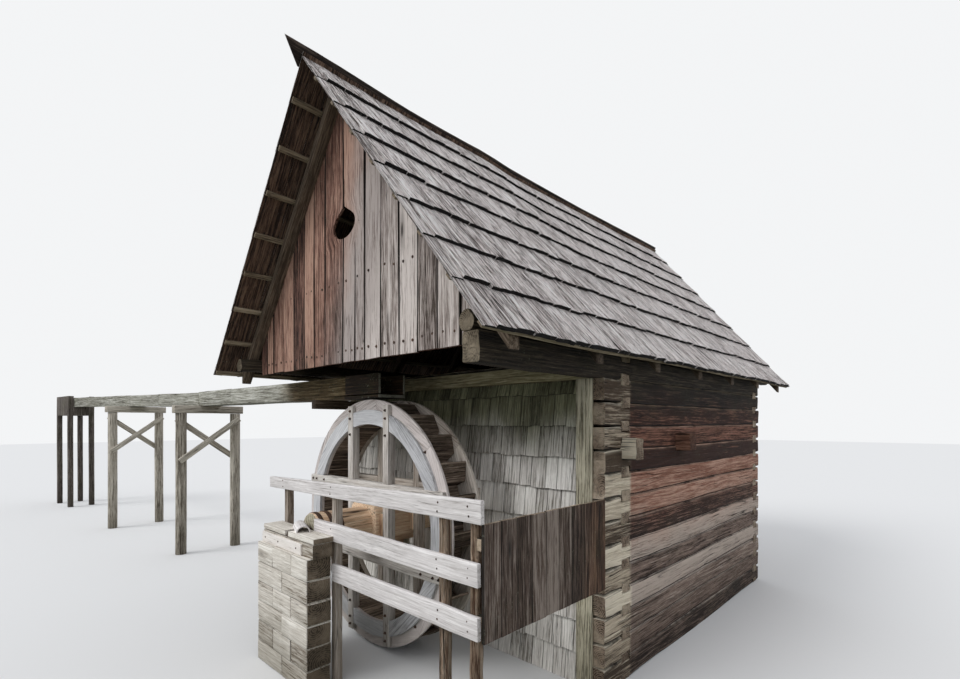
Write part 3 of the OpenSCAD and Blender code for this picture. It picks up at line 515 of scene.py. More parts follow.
# Rounds, bends and roughens every timber in a mesh, and writes each one's own coordinates
def workTimbers(bm, **changes):
    shape = {**timberShape, **changes}
    layers = newLayers(bm)
    for part in partsOf(bm):
        fibres = shape["along"](part) if callable(shape["along"]) else shape["along"]
        axes = axesOf(part, fibres)
        part = roundEdges(bm, part, shape)
        part = addLoops(bm, part, axes, shape)
        seed = newSeed()
        tint = chance.random()
        spans = []
        for axis in axes:
            reach = [vert.co.dot(axis) for vert in part]
            spans.append(((min(reach) + max(reach)) / 2, max(0.001, (max(reach) - min(reach)) / 2)))
        for vert in part:
            own = [vert.co.dot(axis) - middle for axis, (middle, half) in zip(axes, spans)]
            vert[layers["grain"]] = Vector(own) + seed
            vert[layers["span"]] = [value / half for value, (middle, half) in zip(own, spans)]
            vert[layers["tint"]] = tint
            vert.co += ageShift(vert.co, own, axes, spans[0][1], seed, shape)


def toObject(bm, name, material):
    bmesh.ops.recalc_face_normals(bm, faces=bm.faces)
    for face in bm.faces:
        face.smooth = True
    for edge in bm.edges:
        edge.smooth = not edge.is_manifold or edge.calc_face_angle() < math.radians(38)
    mesh = bpy.data.meshes.new(name)
    bm.to_mesh(mesh)
    bm.free()
    mesh.materials.append(material)
    piece = bpy.data.objects.new(name, mesh)
    bpy.context.scene.collection.objects.link(piece)
    return piece


def keep(bm, name, material, nodes=(), body="mill"):
    piece = toObject(bm, name, material)
    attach(piece, body)
    if nodes:
        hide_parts(*nodes)
    return piece


# More ways to shape timber


def crosses(part, point, normal):
    sides = [(vert.co - point).dot(normal) for vert in part]
    return min(sides) < -0.002 and max(sides) > 0.002


def sawThrough(bm, part, point, normal, kerf):
    geom = list(part) + edgesOf(part) + facesOf(part)
    other = vertsOf(bmesh.ops.duplicate(bm, geom=geom)["geom"])
    cutAway(bm, part, point - normal * kerf / 2, normal)
    cutAway(bm, other, point + normal * kerf / 2, -normal)


# Saws the solids of a mesh that a plane passes through, each into two
def sawAll(bm, point, normal, kerf=0.002, choose=None):
    point = Vector(point)
    normal = Vector(normal).normalized()
    for part in partsOf(bm):
        if crosses(part, point, normal) and (choose is None or choose(part)):
            sawThrough(bm, part, point, normal, kerf)


def middleOf(part):
    low = Vector([min(vert.co[i] for vert in part) for i in range(3)])
    high = Vector([max(vert.co[i] for vert in part) for i in range(3)])
    return (low + high) / 2


# A board in its own frame: x along the fibres from 0, y across, z outwards from its underside
plankShape = {
    "cuts": (5, 3),      # loops along and across the board
    "bow": 0.004,
    "rough": 0.0012,
    "ragged": (0.010, 0.004),   # how uneven the near and the far end are
    "worn": 0.002,       # how far the long edges are worn down
    "lift": 0.0,         # height of the underside at the near end over the far end
    "base": 0.0,         # height of the whole underside
}
scratch = bpy.data.meshes.new("scratch")


def layPlank(bm, length, width, thick, place, **changes):
    shape = {**plankShape, **changes}
    butt, tip = thick
    cutsAlong, cutsAcross = shape["cuts"]
    one = bmesh.new()
    layers = newLayers(one)
    bmesh.ops.create_grid(one, x_segments=cutsAlong + 1, y_segments=cutsAcross + 1, size=0.5)
    top = bmesh.ops.extrude_face_region(one, geom=one.faces[:])["geom"]
    bmesh.ops.translate(one, vec=(0, 0, 1), verts=vertsOf(top))
    seed = newSeed()
    tint = chance.random()
    lean = [chance.uniform(-1, 1), chance.uniform(-1, 1)]
    for vert in one.verts:
        along = vert.co.x + 0.5
        side = vert.co.y * 2
        side = math.copysign(abs(side) ** 0.6, side)
        high = vert.co.z > 0.5
        vert[layers["span"]] = (vert.co.x * 2, side, vert.co.z * 2 - 1)
        vert[layers["tint"]] = tint
        level = shape["base"] + shape["lift"] * (1 - along)
        level += butt + (tip - butt) * along if high else 0
        if abs(side) > 0.99:
            level += -shape["worn"] if high else shape["worn"]
        own = Vector((along * length, side * width / 2, level))
        vert[layers["grain"]] = own + seed
        end = 0 if along < 0.5 else 1
        if along < 0.001 or along > 0.999:
            uneven = noise.noise(Vector((seed.x + end * 9, own.y * 14, 0)))
            own.x += shape["ragged"][end] * (lean[end] + uneven)
        own.y += noise.noise(seed + Vector((own.x * 1.2, 0, 0))) * shape["bow"] * 0.5
        own.z += noise.noise(seed + Vector((own.x * 1.2, 5, 0))) * shape["bow"] * 0.5
        own += noise.noise_vector(own * 8 + seed) * shape["rough"]
        vert.co = own
    bmesh.ops.transform(one, matrix=place, verts=one.verts)
    one.to_mesh(scratch)
    one.free()
    bm.from_mesh(scratch)


def newBoards():   # an empty mesh that boards with their own coordinates go into
    bm = bmesh.new()
    newLayers(bm)
    return bm


def framed(origin, xAxis, zAxis):   # the matrix of a board's frame from its fibre and outward directions
    xAxis = Vector(xAxis).normalized()
    zAxis = Vector(zAxis).normalized()
    place = Matrix((xAxis, zAxis.cross(xAxis), zAxis)).transposed().to_4x4()
    place.translation = Vector(origin)
    return place


def splitWidth(total, narrow, wide):   # board widths that fill a length
    widths = []
    while sum(widths) < total:
        widths.append(chance.uniform(narrow, wide))
    scale = total / sum(widths)
    return [width * scale for width in widths]


# Domed heads of nails or bolts on a face, all looking along a direction
def driveHeads(places, direction, radius, name, body="mill", washer=0.0):
    bm = bmesh.new()
    turn = Vector((0, 0, 1)).rotation_difference(Vector(direction)).to_matrix().to_4x4()
    for place in places:
        spot = Matrix.Translation(Vector(place)) @ turn @ Matrix.Rotation(chance.uniform(0, 3), 4, "Z")
        if washer:
            made = bmesh.ops.create_cone(bm, cap_ends=True, segments=12, radius1=washer,
                                         radius2=washer * 0.94, depth=0.005)["verts"]
            bmesh.ops.transform(bm, matrix=spot, verts=made)
            head = bmesh.ops.create_cone(bm, cap_ends=True, segments=6, radius1=radius,
                                         radius2=radius * 0.92, depth=0.014)["verts"]
            bmesh.ops.transform(bm, matrix=spot @ Matrix.Translation((0, 0, 0.009)), verts=head)
        else:
            made = bmesh.ops.create_uvsphere(bm, u_segments=7, v_segments=4, radius=radius)["verts"]
            bmesh.ops.transform(bm, matrix=spot @ Matrix.Diagonal((1, 1, 0.45, 1)), verts=made)
    return keep(bm, name, iron, body=body)


# Replaces CAD nodes with worked timbers of the same form
def dress(name, nodes, material, slot, body="mill", shift=None, **changes):
    bm = copyOf(*nodes)
    workTimbers(bm, **changes)
    if shift:
        for vert in bm.verts:
            vert.co += shift(vert.co)
    return keep(bm, name, material, nodes=nodes, body=body)


# Finishes

iron = makeIron("rustyIron")
# In the looks, seams and joints set how strongly painted shade darkens the gaps between boards and logs
looks = {
    "log": {
        "light": tone(206, 166, 146), "middle": tone(150, 104, 86), "dark": tone(52, 30, 23),
        "streaks": 0.62, "cracks": 1.0, "knots": 0.12, "wear": 0.5, "relief": 1.3, "variety": 0.95,
        "joints": 1.0, "jointEdge": 0.85, "bleach": 0.95,
        "fades": [
            ((0, 0, -1), -1.75, -1.15, {"light": tone(202, 186, 174), "middle": tone(140, 120, 109),
                                        "dark": tone(50, 38, 32)}),
            # towards the top the logs darken: painted shade under the eaves
            ((0, 0, 1), 2.45, 3.0, {"light": tone(122, 108, 88), "middle": tone(72, 58, 46),
                                    "dark": tone(28, 22, 17)}),
            ((0, -1, 0), -0.13, -0.06, {"light": tone(240, 228, 206), "middle": tone(200, 184, 162),
                                        "dark": tone(84, 70, 58)}),
        ],
        "end": {"light": tone(226, 208, 184), "middle": tone(158, 138, 119), "dark": tone(52, 41, 34)},
    },
    "frame": {
        "light": tone(134, 118, 102), "middle": tone(78, 66, 55), "dark": tone(32, 26, 21),
        "streaks": 0.6, "cracks": 0.6, "wear": 0.4,
    },
    "beam": {
        "light": tone(158, 118, 98), "middle": tone(104, 70, 56), "dark": tone(40, 25, 19),
        "streaks": 0.8, "cracks": 1.0, "wear": 0.5, "relief": 1.2,
        "end": {"light": tone(152, 108, 86), "middle": tone(102, 68, 52), "dark": tone(42, 27, 20)},
    },
    # plate: the plates' and corbel log's sides painted dark as shade under the eaves; their end grain
    # keeps its own lighter colours
    "plate": {
        "light": tone(100, 90, 74), "middle": tone(56, 48, 39), "dark": tone(22, 18, 14),
        "streaks": 0.8, "cracks": 0.9, "wear": 0.5, "relief": 1.2,
        "end": {"light": tone(176, 162, 140), "middle": tone(120, 108, 90), "dark": tone(54, 45, 36)},
    },
    "batten": {
        "light": tone(186, 172, 150), "middle": tone(136, 122, 103), "dark": tone(66, 56, 46),
        "streaks": 0.8, "cracks": 0.5, "wear": 0.6,
    },
    "roof": {
        "light": tone(255, 252, 249), "middle": tone(233, 222, 218), "dark": tone(96, 85, 81),
        "streaks": 1.35, "cracks": 1.0, "knots": 0.03, "wear": 0.0, "relief": 1.5, "moss": 0.05,
        "mossColor": tone(120, 118, 96), "lichen": 0.3, "variety": 0.14, "seams": 0.6,
        # under: downward faces in a darker brown, the sheltered wood's own colour darkened with painted
        # shade
        "under": {"light": tone(158, 130, 110), "middle": tone(110, 87, 73), "dark": tone(54, 40, 33)},
        # end: the butts near black, their own dark rotten end grain with painted shade on the
        # downward-facing ends
        "end": {"light": tone(34, 28, 26), "middle": tone(22, 18, 17), "dark": tone(10, 8, 8)},
    },
    "ridge": {
        "light": tone(255, 250, 248), "middle": tone(222, 214, 212), "dark": tone(96, 86, 84),
        "streaks": 0.9, "cracks": 0.8, "wear": 0.2,
        # under: the ridge board's downward faces painted near black as shade
        "under": {"light": tone(92, 80, 72), "middle": tone(52, 43, 38), "dark": tone(24, 19, 17)},
    },
    "gable": {
        "light": tone(180, 144, 126), "middle": tone(118, 84, 72), "dark": tone(42, 27, 22),
        "streaks": 1.0, "cracks": 0.9, "knots": 0.25, "wear": 0.3, "variety": 0.75, "joints": 1.0,
        "jointEdge": 0.91,
        "fades": [
            ((1, 0, -0.30), -1.6, -0.95, {"light": tone(174, 163, 158), "middle": tone(122, 110, 105),
                                          "dark": tone(50, 41, 36)}),
            ((1, 0, -0.30), -0.80, -0.25, {"light": tone(212, 202, 196), "middle": tone(154, 142, 136),
                                           "dark": tone(64, 54, 48)}),
        ],
    },
    "shingle": {
        "light": tone(250, 247, 240), "middle": tone(214, 209, 202), "dark": tone(120, 114, 106),
        "streaks": 0.62, "cracks": 0.6, "knots": 0.04, "wear": 0.2, "lichen": 0.3, "moss": 0.08,
        "variety": 0.35, "seams": 0.8, "damp": 0.2,
        "fades": [
            # towards the top the shingles turn greener with moss and darker with painted shade under the
            # roof
            ((0, 0, 1), 2.0, 2.75, {"light": tone(142, 142, 114), "middle": tone(100, 99, 77),
                                    "dark": tone(48, 47, 36)}),
        ],
        # end: the shingle butts darker, their own end grain with painted shade along the course lines
        "end": {"light": tone(92, 88, 78), "middle": tone(58, 55, 48), "dark": tone(28, 26, 22)},
    },
    "corner": {
        "light": tone(236, 230, 208), "middle": tone(196, 189, 166), "dark": tone(98, 91, 76),
        "streaks": 0.7, "cracks": 0.6, "knots": 0.25, "wear": 0.5, "moss": 0.12,
    },
    "headBoard": {
        "light": tone(188, 178, 146), "middle": tone(136, 126, 98), "dark": tone(60, 54, 42),
        "streaks": 0.8, "cracks": 0.6, "knots": 0.2, "wear": 0.5, "moss": 0.15,
    },
    "block": {
        "light": tone(240, 235, 226), "middle": tone(206, 199, 188), "dark": tone(120, 108, 94),
        "streaks": 0.62, "cracks": 0.7, "knots": 0.15, "wear": 0.4, "damp": 0.5, "variety": 0.35,
        "seams": 0.7,
        "end": {"light": tone(148, 133, 115), "middle": tone(102, 90, 76), "dark": tone(48, 41, 33)},
    },
    "blockPlank": {
        "light": tone(252, 248, 244), "middle": tone(232, 225, 218), "dark": tone(160, 150, 140),
        "streaks": 0.4, "cracks": 0.3, "knots": 0.1, "wear": 0.2, "variety": 0.1,
    },
    "rail": {
        "light": tone(242, 238, 236), "middle": tone(212, 207, 205), "dark": tone(134, 126, 120),
        "streaks": 0.5, "cracks": 0.4, "knots": 0.45, "wear": 0.4, "variety": 0.12,
    },
    "post": {
        "light": tone(190, 180, 170), "middle": tone(158, 146, 134), "dark": tone(88, 74, 62),
        "streaks": 0.7, "cracks": 0.7, "knots": 0.2, "wear": 0.5,
    },
    "bark": {
        "light": tone(250, 232, 210), "middle": tone(216, 186, 158), "dark": tone(116, 86, 66),
        "streaks": 1.0, "cracks": 1.0, "knots": 0.3, "wear": 0.2, "relief": 2.2,
    },
    "fence": {
        "light": tone(140, 128, 119), "middle": tone(84, 70, 62), "dark": tone(34, 26, 21),
        "streaks": 0.9, "cracks": 0.5, "knots": 0.3, "wear": 0.9, "damp": 0.2, "variety": 0.6,
        "joints": 0.9,
        "fades": [
            ((0, 1, 0), -0.95, -0.5, {"light": tone(142, 112, 88), "middle": tone(94, 70, 55),
                                      "dark": tone(42, 30, 23)}),
        ],
        "end": {"light": tone(214, 196, 172), "middle": tone(160, 142, 122), "dark": tone(90, 74, 60)},
    },
    "flume": {
        "light": tone(206, 205, 196), "middle": tone(150, 148, 137), "dark": tone(64, 60, 50),
        "streaks": 0.8, "cracks": 0.6, "knots": 0.1, "wear": 0.5, "moss": 0.15, "lichen": 0.5,
        "variety": 0.2, "seams": 0.7,
        "fades": [
            ((1, 0, 0), -2.8, -2.1, {"light": tone(150, 130, 98), "middle": tone(92, 76, 52),
                                     "dark": tone(34, 26, 16)}),
            # its end under the roof painted near black as shade
            ((1, 0, 0), -0.90, -0.86, {"light": tone(84, 64, 44), "middle": tone(44, 32, 22),
                                       "dark": tone(18, 13, 9)}),
        ],
    },
    "trestle": {
        "light": tone(226, 219, 205), "middle": tone(184, 176, 163), "dark": tone(98, 90, 79),
        "streaks": 0.8, "cracks": 0.8, "knots": 0.15, "wear": 0.6,
    },
    "inlet": {
        "light": tone(140, 132, 125), "middle": tone(100, 92, 86), "dark": tone(50, 43, 39),
        "streaks": 0.8, "cracks": 0.6, "knots": 0.1, "wear": 0.4, "moss": 0.2, "variety": 0.4,
    },
    "axle": {
        "light": tone(252, 228, 198), "middle": tone(226, 190, 156), "dark": tone(124, 92, 68),
        "streaks": 0.7, "cracks": 1.0, "knots": 0.1, "wear": 0.3, "relief": 1.0, "damp": 0.1,
        "end": {"light": tone(206, 200, 176), "middle": tone(172, 165, 144), "dark": tone(100, 88, 70)},
    },
    "outerRing": {
        "light": tone(232, 224, 220), "middle": tone(210, 201, 197), "dark": tone(146, 134, 128),
        "streaks": 0.45, "cracks": 0.6, "knots": 0.1, "wear": 0.2, "relief": 0.6, "variety": 0.15,
    },
    "felloe": {
        "light": tone(226, 226, 227), "middle": tone(198, 198, 200), "dark": tone(136, 135, 137),
        "streaks": 0.45, "cracks": 0.5, "knots": 0.1, "wear": 0.3, "relief": 0.6, "variety": 0.2,
    },
    "farRing": {
        "light": tone(226, 218, 208), "middle": tone(190, 179, 167), "dark": tone(114, 101, 90),
        "streaks": 0.6, "cracks": 0.6, "knots": 0.1, "relief": 0.6, "variety": 0.25,
    },
    "bucket": {
        "light": tone(168, 150, 134), "middle": tone(100, 86, 74), "dark": tone(44, 34, 28),
        "streaks": 0.8, "cracks": 0.6, "wear": 0.9, "damp": 0.2, "variety": 0.4,
    },
    "arm": {
        "light": tone(232, 228, 222), "middle": tone(200, 193, 186), "dark": tone(120, 110, 101),
        "streaks": 0.6, "cracks": 0.7, "knots": 0.15, "wear": 0.4, "variety": 0.15,
    },
}
woods = {label: makeWood(label + "Wood", look) for label, look in looks.items()}
print("finishes made:", len(woods) + 1)

# The roof's lines, from the CAD nodes


def roofLines():
    bm = copyOf("right_rafters")
    longest = max(bm.edges, key=lambda edge: edge.calc_length())
    run = longest.verts[1].co - longest.verts[0].co
    pitch = math.atan2(abs(run.z), abs(run.x))
    bm.free()
    corner = max((v.co for v in frame["nodes"]["right_roof_boards"].data.vertices), key=lambda co: co.x)
    return pitch, corner.x, corner.z


pitch, eaveX, eaveZ = roofLines()
ridgeZ = eaveZ + eaveX * math.tan(pitch)
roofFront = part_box("right_roof_boards")[0].y
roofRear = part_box("right_roof_boards")[1].y
sagShape = {
    # how far the ridge has sunk at places from front to rear, metres
    "ridge": [(-2.5, 0.012), (-0.9, 0.060), (0.2, 0.055), (0.9, 0.095), (3.7, 0.070), (5.5, 0.045)],
    "eave": 0.016,
}


def sagAt(y):
    points = sagShape["ridge"]
    y = min(max(y, points[0][0]), points[-1][0])
    for (y0, s0), (y1, s1) in zip(points, points[1:]):
        if y <= y1:
            t = (y - y0) / (y1 - y0)
            t = t * t * (3 - 2 * t)
            return s0 + (s1 - s0) * t
    return points[-1][1]


def sagShift(co):   # the old roof sinks along its ridge and waves a little along its eaves
    up = min(max((co.z - eaveZ) / (ridgeZ - eaveZ), 0), 1)
    wave = noise.noise(Vector((co.x * 0.3, co.y * 0.7, 2.0))) * sagShape["eave"] * (1 - up)
    return Vector((0, 0, wave - sagAt(co.y) * up))


# Roof boards

roof = {
    "courses": 8,
    "boardMin": 0.15, "boardMax": 0.27,
    "gap": 0.003,
    "lap": 0.11,              # how far a board runs under the next course
    "under": 0.045,           # height of the CAD roof over its battens
    "lining": 0.007,          # thickness of the boards that close the joints from below
    "liningWidth": (0.20, 0.34),
    "liningBack": 0.02,       # and how far they stand back from the lower ends
    "butt": (0.034, 0.041),   # thinnest and thickest lower ends
    "tip": 0.004,
    "verge": 0.11,            # width of the boards along the front and rear edges
    "vergeButt": 0.014,
    "ragged": 0.014,
}


def layRoof(side, name, node, material):
    up = Vector((-math.cos(pitch) * side, 0, math.sin(pitch)))
    out = Vector((math.sin(pitch) * side, 0, math.cos(pitch)))
    run = up.cross(out)
    start = Vector((eaveX * side, roofFront if side > 0 else roofRear, eaveZ)) - out * roof["under"]
    length = roofRear - roofFront
    slopeLength = eaveX / math.cos(pitch)
    exposure = slopeLength / roof["courses"]
    bm = newBoards()
    for course in range(roof["courses"]):
        low = course * exposure
        top = min(low + exposure + roof["lap"], slopeLength - (0.05 if side > 0 else 0.005))
        widths = splitWidth(length - 2 * roof["verge"], roof["boardMin"], roof["boardMax"])
        widths = [roof["verge"]] + widths + [roof["verge"]]
        at = 0
        for i, width in enumerate(widths):
            edgeBoard = i in (0, len(widths) - 1)
            butt = roof["vergeButt"] if edgeBoard else chance.uniform(*roof["butt"])
            middle = start + run * (at + width / 2) + up * low
            ragged = (0.004 if edgeBoard else roof["ragged"], 0.004)
            layPlank(bm, top - low, width - roof["gap"] * chance.uniform(0.2, 1.3), (butt, roof["tip"]),
                     framed(middle, up, out), cuts=(6, 4), lift=0.003, base=roof["lining"], bow=0.008,
                     rough=0.0022, ragged=ragged, worn=0.002)
            at += width
        at = 0
        for width in splitWidth(length, *roof["liningWidth"]):
            thick = roof["lining"] - 0.001
            middle = start + run * (at + width / 2) + up * (low + roof["liningBack"])
            layPlank(bm, top - low - roof["liningBack"], width - 0.001, (thick, thick),
                     framed(middle, up, out), cuts=(2, 1), bow=0, rough=0, worn=0.001)
            at += width
    for vert in bm.verts:
        vert.co += sagShift(vert.co)
    keep(bm, name, material, nodes=[node])


layRoof(1, "rightRoofBoards", "right_roof_boards", woods["roof"])
layRoof(-1, "leftRoofBoards", "left_roof_boards", woods["roof"])
dress("ridgeBoard", ["ridge_board"], woods["ridge"], "roof_boards", shift=sagShift, along=(0, 1, 0),
      step=0.3, bow=0.010, edge=0.004)
for side in ("right", "left"):
    dress(side + "Battens", [side + "_battens"], woods["batten"], "roof_boards", shift=sagShift,
          along=(0, 1, 0), step=0.4, bow=0.004, edge=0.004)
for side in ("right", "left"):
    dress(side + "Rafters", [side + "_rafters"], woods["frame"], "frame_wood", shift=sagShift,
          step=0.4, edge=0.008)
for side in ("right", "left"):
    dress(side + "Plate", [side + "_plate"], woods["plate"], "frame_wood", along=(0, 1, 0),
          step=0.25, bow=0.006, rough=0.006, fray=0.012, edge=0.010)
dress("tieBeams", ["front_tie", "rear_tie"], woods["frame"], "frame_wood", along=(1, 0, 0), step=0.4,
      edge=0.008)
print("roof laid")

# Gables

gable = {
    "joints": [-1.86, -1.68, -1.39, -1.11, -0.85, -0.62, -0.38, 0.0, 0.23, 0.40, 0.67, 0.96, 1.23,
               1.50, 1.78],
    "edge": 2.0,                 # half width of the boards at their foot
    "gap": (0.005, 0.013),
    "nailRow": 0.12,             # heights of the nails over the boards' foot
    "upperNails": 0.85,
    "upperReach": 1.25,          # how far from the middle the upper row goes
    "hole": (0, 4.654, 0.245),   # middle x and z of the hole, and a circle round all of it
    "widened": (1.30, 0.86),
}


def boardGable(node, name, shift):
    bm = copyOf(node)
    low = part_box(node)[0]
    for x in gable["joints"]:
        sawAll(bm, (x, low.y, low.z), (1, 0, 0), chance.uniform(*gable["gap"]))
    workTimbers(bm, along=(0, 0, 1), step=0.18, bow=0.005, rough=0.0015, edge=0.003, edgeSteps=1,
                fray=0.008)
    x, z, circle = gable["hole"]
    for vert in bm.verts:
        if math.hypot(vert.co.x - x, vert.co.z - z) < circle and node == "front_gable":
            vert.co.x = x + (vert.co.x - x) * gable["widened"][0]
            vert.co.z = z + (vert.co.z - z) * gable["widened"][1]
        vert.co += shift(vert.co)
    keep(bm, name, woods["gable"], nodes=[node])


boardGable("front_gable", "frontGableBoards", sagShift)
boardGable("rear_gable", "rearGableBoards", sagShift)


def nailGable():
    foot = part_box("front_gable")[0]
    sides = [-gable["edge"]] + gable["joints"] + [gable["edge"]]
    spots = []
    for left, right in zip(sides, sides[1:]):
        for share in (0.25, 0.75):
            x = left + (right - left) * share
            lift = gable["nailRow"] + chance.uniform(-0.015, 0.015)
            spots.append((x, foot.y - 0.001, foot.z + lift))
            if abs(x) < gable["upperReach"] and chance.random() < 0.7:
                lift = gable["upperNails"] + chance.uniform(-0.02, 0.02)
                spots.append((x, foot.y - 0.001, foot.z + lift))
    driveHeads(spots, (0, -1, 0), 0.015, "gableNails")


nailGable()
print("gables boarded")

# Log walls

warp = {"height": 0.020, "calmBelow": 0.25, "calmAbove": 2.9, "calming": 0.3}


def logShift(co):   # the courses run a little out of level, the same in every wall
    calm = min(max(co.z / warp["calmBelow"], 0), 1)
    calm *= min(max((warp["calmAbove"] - co.z) / warp["calming"], 0), 1)
    wave = noise.noise(Vector((co.x * 0.35, co.y * 0.45, co.z * 2.1 + 3)))
    return Vector((0, 0, wave * warp["height"] * calm))


for node, name in (("right_wall", "rightWallLogs"), ("left_wall", "leftWallLogs"),
                   ("front_wall", "frontWallLogs"), ("rear_wall", "rearWallLogs")):
    dress(name, [node], woods["log"], "log_wood", shift=logShift,
          along=(0, 1, 0) if node in ("right_wall", "left_wall") else (1, 0, 0),
          step=0.13, crossStep=0.08, bow=0.006, rough=0.006, roughScale=4.0, fray=0.016, edge=0,
          waste=(0.34, 0.16))
dress("corbelLog", ["corbel_log"], woods["plate"], "log_wood", along=(0, 1, 0), step=0.15,
      crossStep=0.08, bow=0.005, rough=0.006, fray=0.014, edge=0.010)
dress("crossBeam", ["cross_beam"], woods["beam"], "log_wood", along=(1, 0, 0), step=0.25,
      bow=0.002, rough=0.003, edge=0.012, fray=0.008)
print("log walls laid")

# Shingle cladding

cladding = {
    "exposure": 0.32, "topCourse": 0.14,
    "shingleMin": 0.11, "shingleMax": 0.21,
    "lap": 0.05,
    "butt": 0.018, "tip": 0.008,
    "gap": (0.002, 0.006),
    "ragged": 0.010,
    "shortest": 0.04,      # a shingle shorter than this is left out
    "set": 0.027,          # how far a course leans back over its exposure
    "opening": 0.232,      # half width left free round the axle
}
hub = Vector(frame["joints"][0]["pos_m"])
wheelLow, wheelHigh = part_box("near_ring")
wheelRadius = (wheelHigh.x - wheelLow.x) / 2


def layShingles():
    low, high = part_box("shingle_cladding")
    starts = [high.z - cladding["topCourse"]]
    while starts[-1] > cladding["exposure"] * 0.5:
        starts.append(starts[-1] - cladding["exposure"])
    starts[-1] = 0.0
    bm = newBoards()
    opening = (hub.x - cladding["opening"], hub.x + cladding["opening"],
               hub.z - cladding["opening"], hub.z + cladding["opening"])
    for i, z in enumerate(starts):
        top = high.z - 0.004 if i == 0 else starts[i - 1]
        lean = math.atan2(cladding["set"], top - z)
        up = Vector((0, math.sin(lean), math.cos(lean)))
        out = Vector((0, -math.cos(lean), math.sin(lean)))
        end = top + (0 if i == 0 else cladding["lap"])
        at = low.x
        for width in splitWidth(high.x - low.x, cladding["shingleMin"], cladding["shingleMax"]):
            spans = [(z, end)]
            if at + width > opening[0] and at < opening[1]:
                spans = [(z, min(end, opening[2])), (max(z, opening[3]), end)]
            for bottom, above in spans:
                if above - bottom < cladding["shortest"]:
                    continue
                foot = Vector((at + width / 2, low.y + cladding["butt"], z)) + up * (bottom - z)
                ragged = (cladding["ragged"] if bottom == z > 0 else 0.001, 0.002)
                layPlank(bm, above - bottom, width - chance.uniform(*cladding["gap"]),
                         (cladding["butt"], cladding["tip"]), framed(foot, up, out), cuts=(3, 2),
                         bow=0.003, rough=0.0015, ragged=ragged, worn=0.002)
            at += width
    keep(bm, "wallShingles", woods["shingle"])
    back = copyOf("shingle_cladding")
    face = low.y + cladding["set"] + cladding["butt"] + 0.004
    cutAway(back, back.verts[:], Vector((0, face, 0)), Vector((0, -1, 0)))
    workTimbers(back, along=(0, 0, 1), step=0.5, edge=0, bow=0, rough=0.0005)
    keep(back, "claddingBacking", woods["frame"], nodes=["shingle_cladding"])


layShingles()
dress("claddingHead", ["cladding_head"], woods["headBoard"], "frame_wood", along=(1, 0, 0),
      step=0.3, edge=0.008, rough=0.003)
dress("cornerBoard", ["corner_board"], woods["corner"], "frame_wood", along=(0, 0, 1),
      step=0.2, bow=0.003, edge=0.003)
print("cladding laid")

# Water wheel

wheel = {
    "jointTurns": [40, 85, 130, 175],     # degrees of the planes between a ring's segments
    "jointGap": 0.002,
    "outerLayer": 0.035,                  # thickness of a ring's outer segments
    "soleBoards": 48,
    "elbow": 0.128,                       # depth below the rim at which a bucket's two boards meet
    "boltRing": 1.305,
    "boltInsets": (0.06, 0.15, 0.34),     # places of an arm's bolts, from its end
}


def aroundHub(part):   # the fibres of a ring's segment run along its chord
    radial = middleOf(part) - hub
    return Vector((0, 1, 0)).cross(Vector((radial.x, 0, radial.z))).normalized()


def makeRing(node, outward, names, materials):
    low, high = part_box(node)
    bm = copyOf(node)
    layer = low.y + wheel["outerLayer"] if outward < 0 else high.y - wheel["outerLayer"]
    sawAll(bm, (0, layer, 0), (0, 1, 0), 0.0006)

    def inRing(part):
        return (middleOf(part).y - layer) * outward < 0

    for turn in wheel["jointTurns"]:
        angle = math.radians(turn)
        sawAll(bm, hub, (-math.sin(angle), 0, math.cos(angle)), wheel["jointGap"], choose=inRing)
    felloes = [vert for part in partsOf(bm) if not inRing(part) for vert in part]
    other = bm.copy()
    bmesh.ops.delete(bm, geom=felloes, context="VERTS")
    rest = [vert for part in partsOf(other) if inRing(part) for vert in part]
    bmesh.ops.delete(other, geom=rest, context="VERTS")
    for each, name, material, covers in zip((bm, other), names, materials, ([node], [])):
        workTimbers(each, along=aroundHub, step=0.12, bow=0.0, rough=0.0010, edge=0.003,
                    edgeSteps=1, fray=0.0)
        keep(each, name, material, nodes=covers, body="wheel")


makeRing("near_ring", -1, ("nearRing", "nearFelloes"), (woods["outerRing"], woods["felloe"]))
makeRing("far_ring", 1, ("farRing", "farFelloes"), (woods["farRing"], woods["farRing"]))


def makeSole():
    bm = copyOf("sole_boards")
    for i in range(wheel["soleBoards"] // 2):
        angle = 2 * math.pi * (i + 0.25) / wheel["soleBoards"]
        sawAll(bm, hub, (-math.sin(angle), 0, math.cos(angle)), 0.003)
    workTimbers(bm, along=(0, 1, 0), step=0.2, edge=0.002, edgeSteps=1, bow=0, rough=0.001, fray=0)
    keep(bm, "soleBoards", woods["bucket"], nodes=["sole_boards"], body="wheel")


def makeBuckets():
    bm = copyOf("buckets")
    for part in partsOf(bm):
        ordered = sorted(part, key=lambda vert: (vert.co.x - hub.x) ** 2 + (vert.co.z - hub.z) ** 2)
        foot = sum((vert.co for vert in ordered[:4]), Vector()) / 4 - hub
        radial = Vector((foot.x, 0, foot.z)).normalized()
        elbow = hub + radial * (wheelRadius - wheel["elbow"])
        sawThrough(bm, part, elbow, radial, 0.003)
    workTimbers(bm, along=(0, 1, 0), step=0.12, edge=0.003, edgeSteps=1, bow=0.002, rough=0.0015,
                fray=0.0)
    keep(bm, "buckets", woods["bucket"], nodes=["buckets"], body="wheel")


